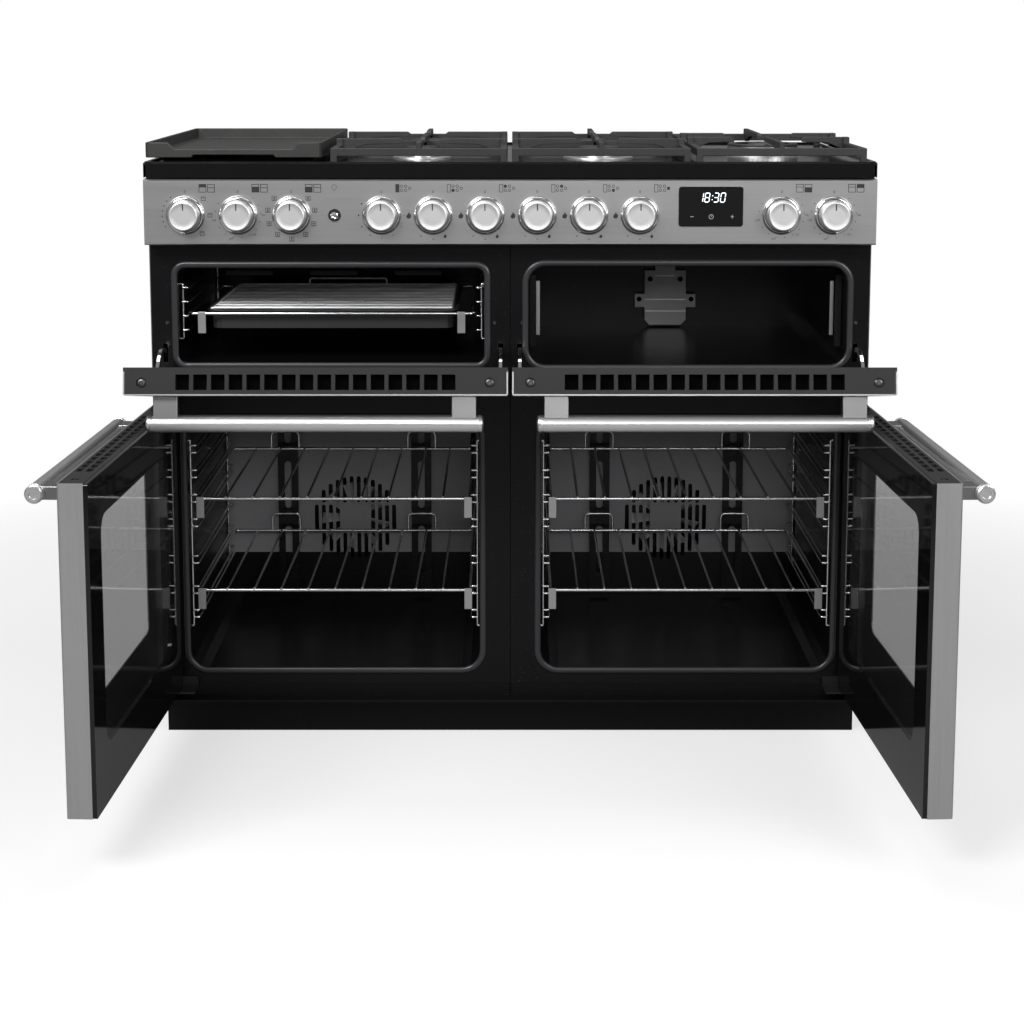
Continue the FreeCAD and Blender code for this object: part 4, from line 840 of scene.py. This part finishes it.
def make_cap_bridge(side):
    """The bar along the middle of a lower door's cap, which parts its slots into two rows."""
    bar = box_piece("cap_bridge", (door_x0 + 60 * mm, door_face + 13.5 * mm, lower_z1 - 10 * mm),
                    (door_x1 - 60 * mm, door_face + 18.5 * mm, lower_z1 - 0.05 * mm), black_trim)
    detail(opened_lower(bar, side), f"lower_{side}_door_frame")


def make_arm_sleeve(side, x):
    """The bright face of an upper door's hinge arm, an arc round its hinge line."""
    start = math.asin((door_back - 1 * mm - upper_hinge.y) / (57 * mm)) + 0.03
    sweep = upper_open + math.radians(20) - 0.06
    inner, outer, wide = 53.4 * mm, 60.6 * mm, 2.62 * mm
    rings = []
    for k in range(33):
        turn = start + sweep * k / 32
        rings.append([(x + a, upper_hinge.y + r * math.sin(turn), upper_hinge.z + r * math.cos(turn))
                      for a, r in ((-wide, inner), (wide, inner), (wide, outer), (-wide, outer))])
    sleeve = softened(lofted("hinge_arm_sleeve", rings, chrome), 0.5 * mm)
    detail(opened_upper(sleeve, side), f"upper_{side}_door_frame")


def make_lower_glass(side):
    """The inner glass: a black printed border round the clear window, and the clear pane that fills the
    window.
    """
    node = f"lower_{side}_door_glass"
    y0, y1 = door_back - inner_skin, door_back
    steps = 8
    window = rounded_loop(-481 * mm, -66 * mm, 160 * mm, 470 * mm, 26 * mm, steps)
    outer = rounded_loop(door_x0, door_x1, lower_z0, lower_z1 - 0.5 * mm, 3 * mm, steps)
    rings = [[(x, y, z) for x, z in loop] for loop, y in
             ((outer, y0), (outer, y1), (window, y1), (window, y0))]
    border = lofted(node + "_border", rings, black_glass, closed=True)
    fitted(opened_lower(border, side), node)
    pane = plate(node + "_window", window, y0 + 0.4 * mm, y1 - 0.02 * mm, window_glass)
    fitted(opened_lower(pane, side), node)


for side in ("left", "right"):
    lower_frame, upper_frame = f"lower_{side}_door_frame", f"upper_{side}_door_frame"
    make_handle(f"lower_{side}_door_handle", lower_z1, opened_lower, side)
    make_handle(f"upper_{side}_door_handle", upper_z1, opened_upper, side)
    make_lower_glass(side)
    make_cap_shade_sheet("lower_cap_lining", lower_z1, opened_lower, side, lower_frame)
    make_cap_shade_sheet("upper_cap_lining", upper_z1, opened_upper, side, upper_frame)
    make_cap_bridge(side)
    for x in (-14.5 * mm, -528.5 * mm):
        make_arm_sleeve(side, x)
    for x in (door_x0 + 26 * mm, door_x1 - 26 * mm):
        y, sunk = -306 * mm, 3 * mm
        make_screw("cap_screw", (x, y, lower_z1 - sunk), opened_lower, side, lower_frame, 4.4)
        make_screw("cap_screw", (x, y, upper_z1 - sunk), opened_upper, side, upper_frame, 6.2)


# ---- control panel print ----
class Print:
    """Flat marks in the plane of the panel, gathered in one piece."""

    def __init__(self):
        self.points, self.faces = [], []

    def shape(self, loop):
        start = len(self.points)
        self.points += loop
        self.faces.append(tuple(range(start, start + len(loop))))

    def box(self, x, z, wide, tall):
        corners = ((-1, -1), (1, -1), (1, 1), (-1, 1))
        self.shape([(x + a * wide / 2, z + b * tall / 2) for a, b in corners])

    def outline(self, x, z, wide, tall, line):
        for end in (-1, 1):
            self.box(x, z + end * tall / 2, wide + line, line)
            self.box(x + end * wide / 2, z, line, tall - line)

    def disc(self, x, z, radius, steps=16):
        turns = [2 * math.pi * k / steps for k in range(steps)]
        self.shape([(x + radius * math.cos(turn), z + radius * math.sin(turn)) for turn in turns])

    def ring(self, x, z, radius, line, steps=20, start=0.0, sweep=360.0):
        for k in range(steps):
            a, b = (math.radians(start + sweep * (k + e) / steps) for e in (0, 1))
            inner, outer = radius - line / 2, radius + line / 2
            self.shape([(x + r * math.cos(t), z + r * math.sin(t))
                        for r, t in ((inner, a), (outer, a), (outer, b), (inner, b))])

    def stroke(self, x0, z0, x1, z1, line):
        along = Vector((x1 - x0, z1 - z0)).normalized() * line / 2
        across = Vector((-along.y, along.x))
        self.shape([(x0 - across.x, z0 - across.y), (x1 - across.x, z1 - across.y),
                    (x1 + across.x, z1 + across.y), (x0 + across.x, z0 + across.y)])

    def laid(self, name, y, paint, node):
        points = [(x * mm, y, z * mm) for x, z in self.points]
        mesh = bpy.data.meshes.new(name)
        mesh.from_pydata(points, [], self.faces)
        mesh.materials.append(paint.material)
        detail(placed(name, mesh), node)


def lettering(name, words, x, z, size, y, paint, node):
    """Plain numbers, centred on a point of the panel."""
    curve = bpy.data.curves.new(name, "FONT")
    curve.body, curve.size, curve.align_x, curve.align_y = words, size * mm, "CENTER", "CENTER"
    curve.materials.append(paint.material)
    thing = placed(name, curve)
    thing.location = (x * mm, y, z * mm)
    thing.rotation_euler = (math.pi / 2, 0, 0)
    detail(thing, node)


def cavity_sign(marks, x, z, filled):
    """Two boxes, each split in two, with the knob's own cavity filled."""
    for column in (0, 1):
        cx = x + (column - 0.5) * 12.8
        marks.outline(cx, z, 10.4, 11.6, 0.9)
        marks.box(cx, z + (1.8 if column == 0 else 0.9), 10.4, 0.9)
    places = {"left top": (-6.4, 3.8, 10.4, 4.0), "left bottom": (-6.4, -2.0, 10.4, 7.6),
              "right top": (6.4, 3.4, 10.4, 5.0), "right bottom": (6.4, -2.4, 10.4, 6.8)}
    dx, dz, wide, tall = places[filled]
    marks.box(x + dx, z + dz, wide, tall)


def hob_sign(marks, x, z, filled):
    """Griddle rectangle, four small burners and the large one, with the knob's own place filled."""
    spots = {"griddle": (-9, 0), "front left": (-2.8, -3.1), "rear left": (-2.8, 3.1),
             "front middle": (3.4, -3.1), "rear middle": (3.4, 3.1), "right": (9.4, 0)}
    for spot, (dx, dz) in spots.items():
        if spot == "griddle":
            if filled == spot:
                marks.box(x + dx, z, 6.0, 12.4)
            else:
                marks.outline(x + dx, z, 5.0, 11.4, 0.8)
        elif filled == spot:
            marks.disc(x + dx, z + dz, 2.5)
        else:
            marks.ring(x + dx, z + dz, 1.9, 0.8)


def flame(marks, x, z, size):
    loop = [(0.05, 1.0), (0.3, 0.45), (0.42, 0.15), (0.55, 0.5), (0.72, -0.1), (0.55, -0.75), (0, -1.0),
            (-0.55, -0.8), (-0.72, -0.25), (-0.4, 0.2), (-0.12, 0.55)]
    marks.shape([(x + a * size, z + b * size) for a, b in loop])


def make_panel_print():
    marks = Print()
    y = face - 0.06 * mm
    z = knob_z / mm
    numbers = []

    def around(x, hour, reach):
        turn = math.radians(90 - hour * 30)
        return x + reach * math.cos(turn), z + reach * math.sin(turn)

    for node, place in knobs.items():
        x = place / mm
        numbers.append(("0", x, z + 35, 6.2))
        if node.startswith("knob_burner"):
            flame(marks, *around(x, 9, 36.5), 5.2)
            flame(marks, *around(x, 5, 36), 3.2)
            for hour in (7, 6):
                marks.disc(*around(x, hour, 36), 1.0)
        elif node == "knob_left_oven_mode":
            for hour in (1.5, 2.6, 3.7, 4.8, 6, 7.2, 8.3, 9.4, 10.5):
                a, b = around(x, hour, 36)
                marks.outline(a, b, 6.4, 6.4, 0.8)
                marks.disc(a, b + 0.4, 1.3)
                marks.box(a, b - 2.0, 4.0, 0.7)
        elif node == "knob_griddle_zone":
            for k, hour in enumerate((2, 3, 4, 5, 6, 7, 8, 9, 10)):
                marks.disc(*around(x, hour, 34.5), 0.6 + 0.09 * k)
        elif node == "knob_grill":
            for k in range(7):
                marks.disc(*around(x, 8 + k * 0.45, 34.5), 1.0)
            for hour in (1.6, 3, 4.6):
                a, b = around(x, hour, 37)
                marks.outline(a, b, 6.2, 5.4, 0.8)
                marks.stroke(a - 2.0, b + 1.1, a + 2.0, b + 1.1, 0.8)
        else:
            for k in range(13):
                marks.disc(*around(x, 1.4 + k * 0.72, 34), 0.8)
            for label, hour in (("100", 3), ("150", 4.7), ("200", 6.6), ("250", 8.6)):
                a, b = around(x, hour, 37.5)
                numbers.append((label, a, b, 4.0))
    aside, above = 33, z + 40.5
    signs = {"knob_grill": "left top", "knob_left_oven_heat": "left bottom",
             "knob_left_oven_mode": "left bottom", "knob_right_oven_heat": "right bottom",
             "knob_upper_oven_heat": "right top"}
    for node, filled in signs.items():
        cavity_sign(marks, knobs[node] / mm + aside, above, filled)
    order = ["griddle", "front left", "rear left", "rear middle", "front middle", "right"]
    for node, filled in zip(["knob_griddle_zone"] + [f"knob_burner_{k}" for k in range(1, 6)], order):
        hob_sign(marks, knobs[node] / mm + aside, above, filled)
    bx = button_x / mm
    marks.ring(bx, z + 42.5, 3.4, 0.6, 20, -50, 280)
    marks.stroke(bx - 1.6, z + 39.6, bx - 1.2, z + 37.4, 0.6)
    marks.stroke(bx + 1.6, z + 39.6, bx + 1.2, z + 37.4, 0.6)
    marks.box(bx, z + 36.9, 2.6, 0.6)
    marks.laid("panel_marks", y, ink_and_port_shade, "control_panel")
    for k, (words, x, height, size) in enumerate(numbers):
        lettering(f"panel_number_{k}", words, x, height, size, y, ink_and_port_shade, "control_panel")


def make_clock_face():
    """Time in seven-stroke digits, and the touch marks under it."""
    light = Print()
    y = face - 2.06 * mm
    strokes = {"0": "abcdef", "1": "bc", "3": "abgcd", "8": "abcdefg"}
    tall, wide, line, slant, trim = 13.5, 6.6, 1.25, 0.14, 0.09

    def stroke_at(key, x, z):
        a, b, c, d = {"a": (0, 1, 1, 1), "b": (1, 1, 1, 0.5), "c": (1, 0.5, 1, 0), "d": (0, 0, 1, 0),
                      "e": (0, 0, 0, 0.5), "f": (0, 0.5, 0, 1), "g": (0, 0.5, 1, 0.5)}[key]
        dx, dz = (c - a) * trim, (d - b) * trim
        a, b, c, d = a + dx, b + dz, c - dx, d - dz
        light.stroke(x + a * wide + b * tall * slant, z + b * tall,
                     x + c * wide + d * tall * slant, z + d * tall, line)

    base = 843.0
    for digit, x in zip("1830", (281.5, 291.0, 304.5, 314.5)):
        for key in strokes[digit]:
            stroke_at(key, x, base)
    for z in (846.6, 852.4):
        light.disc(302.0 + (z - base) * slant, z, 0.8)
    light.laid("clock_digits", y, lit, "clock_module")
    touch = Print()
    minus, dial, plus, level = 272.5, 301.5, 333.0, 821
    touch.box(minus, level, 5.0, 0.8)
    touch.box(plus, level, 5.0, 0.8)
    touch.box(plus, level, 0.8, 5.0)
    touch.ring(dial, level, 3.3, 0.7)
    touch.stroke(dial, level, dial, level + 2.2, 0.6)
    touch.stroke(dial, level, dial + 1.5, level + 0.6, 0.6)
    touch.laid("clock_touch_marks", y, touch_mark, "clock_module")


make_panel_print()
make_clock_face()


# ---- small fittings ----
def make_frame_screw(x, z, size):
    head = [(0, size), (1.0, size), (1.6, size * 0.75), (1.2, 0)]
    place = (x * mm, front, z * mm)
    detail(turned_on_lathe("frame_screw", place, forward, head, screw_steel, 20), "oven_liners")


for x in (-519, 519):
    for z in (150, 300, 452):
        make_frame_screw(x, z, 3.2)
for x in (-525, -24, 18.5, 529):
    make_frame_screw(x, 655, 2.8)
detail(box_piece("frame_joint", (-0.5 * mm, front - 0.06 * mm, 66 * mm),
                 (0.5 * mm, front + 0.3 * mm, 776 * mm), cavity_black), "oven_liners")


# ---- stage, light and camera ----
def make_stage():
    """A pale floor and sweep that stay white for the camera and keep a soft shadow."""
    paint = Paint("studio floor", (0.86, 0.86, 0.86), 0.9)
    white = paint.seen_white(0.1)
    paint.set("Base Color", paint.between(white, (0.16, 0.16, 0.16), (0.86, 0.86, 0.86)))
    x, y = paint.axis("X"), paint.axis("Y")
    far = ((x * x + y * y - 0.9) / 2.5).clamped()
    glow = paint.node("ShaderNodeEmission", {}, Color=(1, 1, 1, 1), Strength=1.0)
    lit_floor = Value(paint, paint.shader.outputs[0])
    mixed = paint.node("ShaderNodeMixShader", {}, white * (0.62 + 0.38 * far), lit_floor, glow)
    paint.tree.links.new(mixed.socket, paint.tree.nodes["Material Output"].inputs["Surface"])
    size, rise = 9.0, 5.0
    curve_start, radius = 2.2, 1.2
    profile = [(-7.0, 0.0)]
    profile += [(curve_start + radius * math.sin(t), radius - radius * math.cos(t)) for t in
                (k * math.pi / 24 for k in range(13))]
    profile += [(curve_start + radius, rise)]
    points = [(x, y, z) for x in (-size, size) for y, z in profile]
    count = len(profile)
    faces = [(k, k + 1, count + k + 1, count + k) for k in range(count - 1)]
    floor = built("studio_floor", points, faces, paint, 60)


def area_light(name, place, target, wide, tall, power):
    light = bpy.data.lights.new(name, "AREA")
    light.shape = "RECTANGLE"
    light.size, light.size_y, light.energy = wide, tall, power
    thing = placed(name, light)
    thing.location = place
    thing.rotation_euler = (Vector(target) - Vector(place)).to_track_quat("-Z", "Y").to_euler()


def make_light():
    world = bpy.data.worlds.new("studio")
    world.use_nodes = True
    sky = Nodes(world.node_tree)
    dim = sky.node("ShaderNodeBackground", {}, (1, 1, 1, 1), 0.16)
    bright = sky.node("ShaderNodeBackground", {}, (1, 1, 1, 1), 1.0)
    mixed = sky.node("ShaderNodeMixShader", {}, sky.seen_white(0.1), dim, bright)
    sky.tree.links.new(mixed.socket, sky.tree.nodes["World Output"].inputs["Surface"])
    bpy.context.scene.world = world
    area_light("key", (-1.6, -2.8, 2.7), (0, -0.2, 0.5), 1.8, 1.2, 115)
    area_light("fill", (2.3, -2.6, 1.9), (0, -0.2, 0.4), 1.5, 1.5, 55)
    area_light("front", (0.4, -3.6, 1.6), (0, -0.2, 0.4), 1.2, 0.5, 13)
    area_light("top", (0.0, 0.1, 2.6), (0, 0, 0.8), 1.8, 0.9, 22)


def make_camera():
    """The photograph's place and lens."""
    lens_pixels, picture_pixels = 2047.8, 1024
    data = bpy.data.cameras.new("camera")
    data.sensor_width = 36.0
    data.lens = lens_pixels / picture_pixels * data.sensor_width
    data.shift_y = -0.17
    data.clip_start, data.clip_end = 0.05, 60
    camera = placed("camera", data)
    camera.location = (2.7 * mm, -3385.5 * mm, 1083.4 * mm)
    camera.rotation_euler = (math.radians(90 - 8.28), 0, 0)
    bpy.context.scene.camera = camera


make_stage()
make_light()
make_camera()
bpy.context.scene.view_settings.view_transform = "Standard"
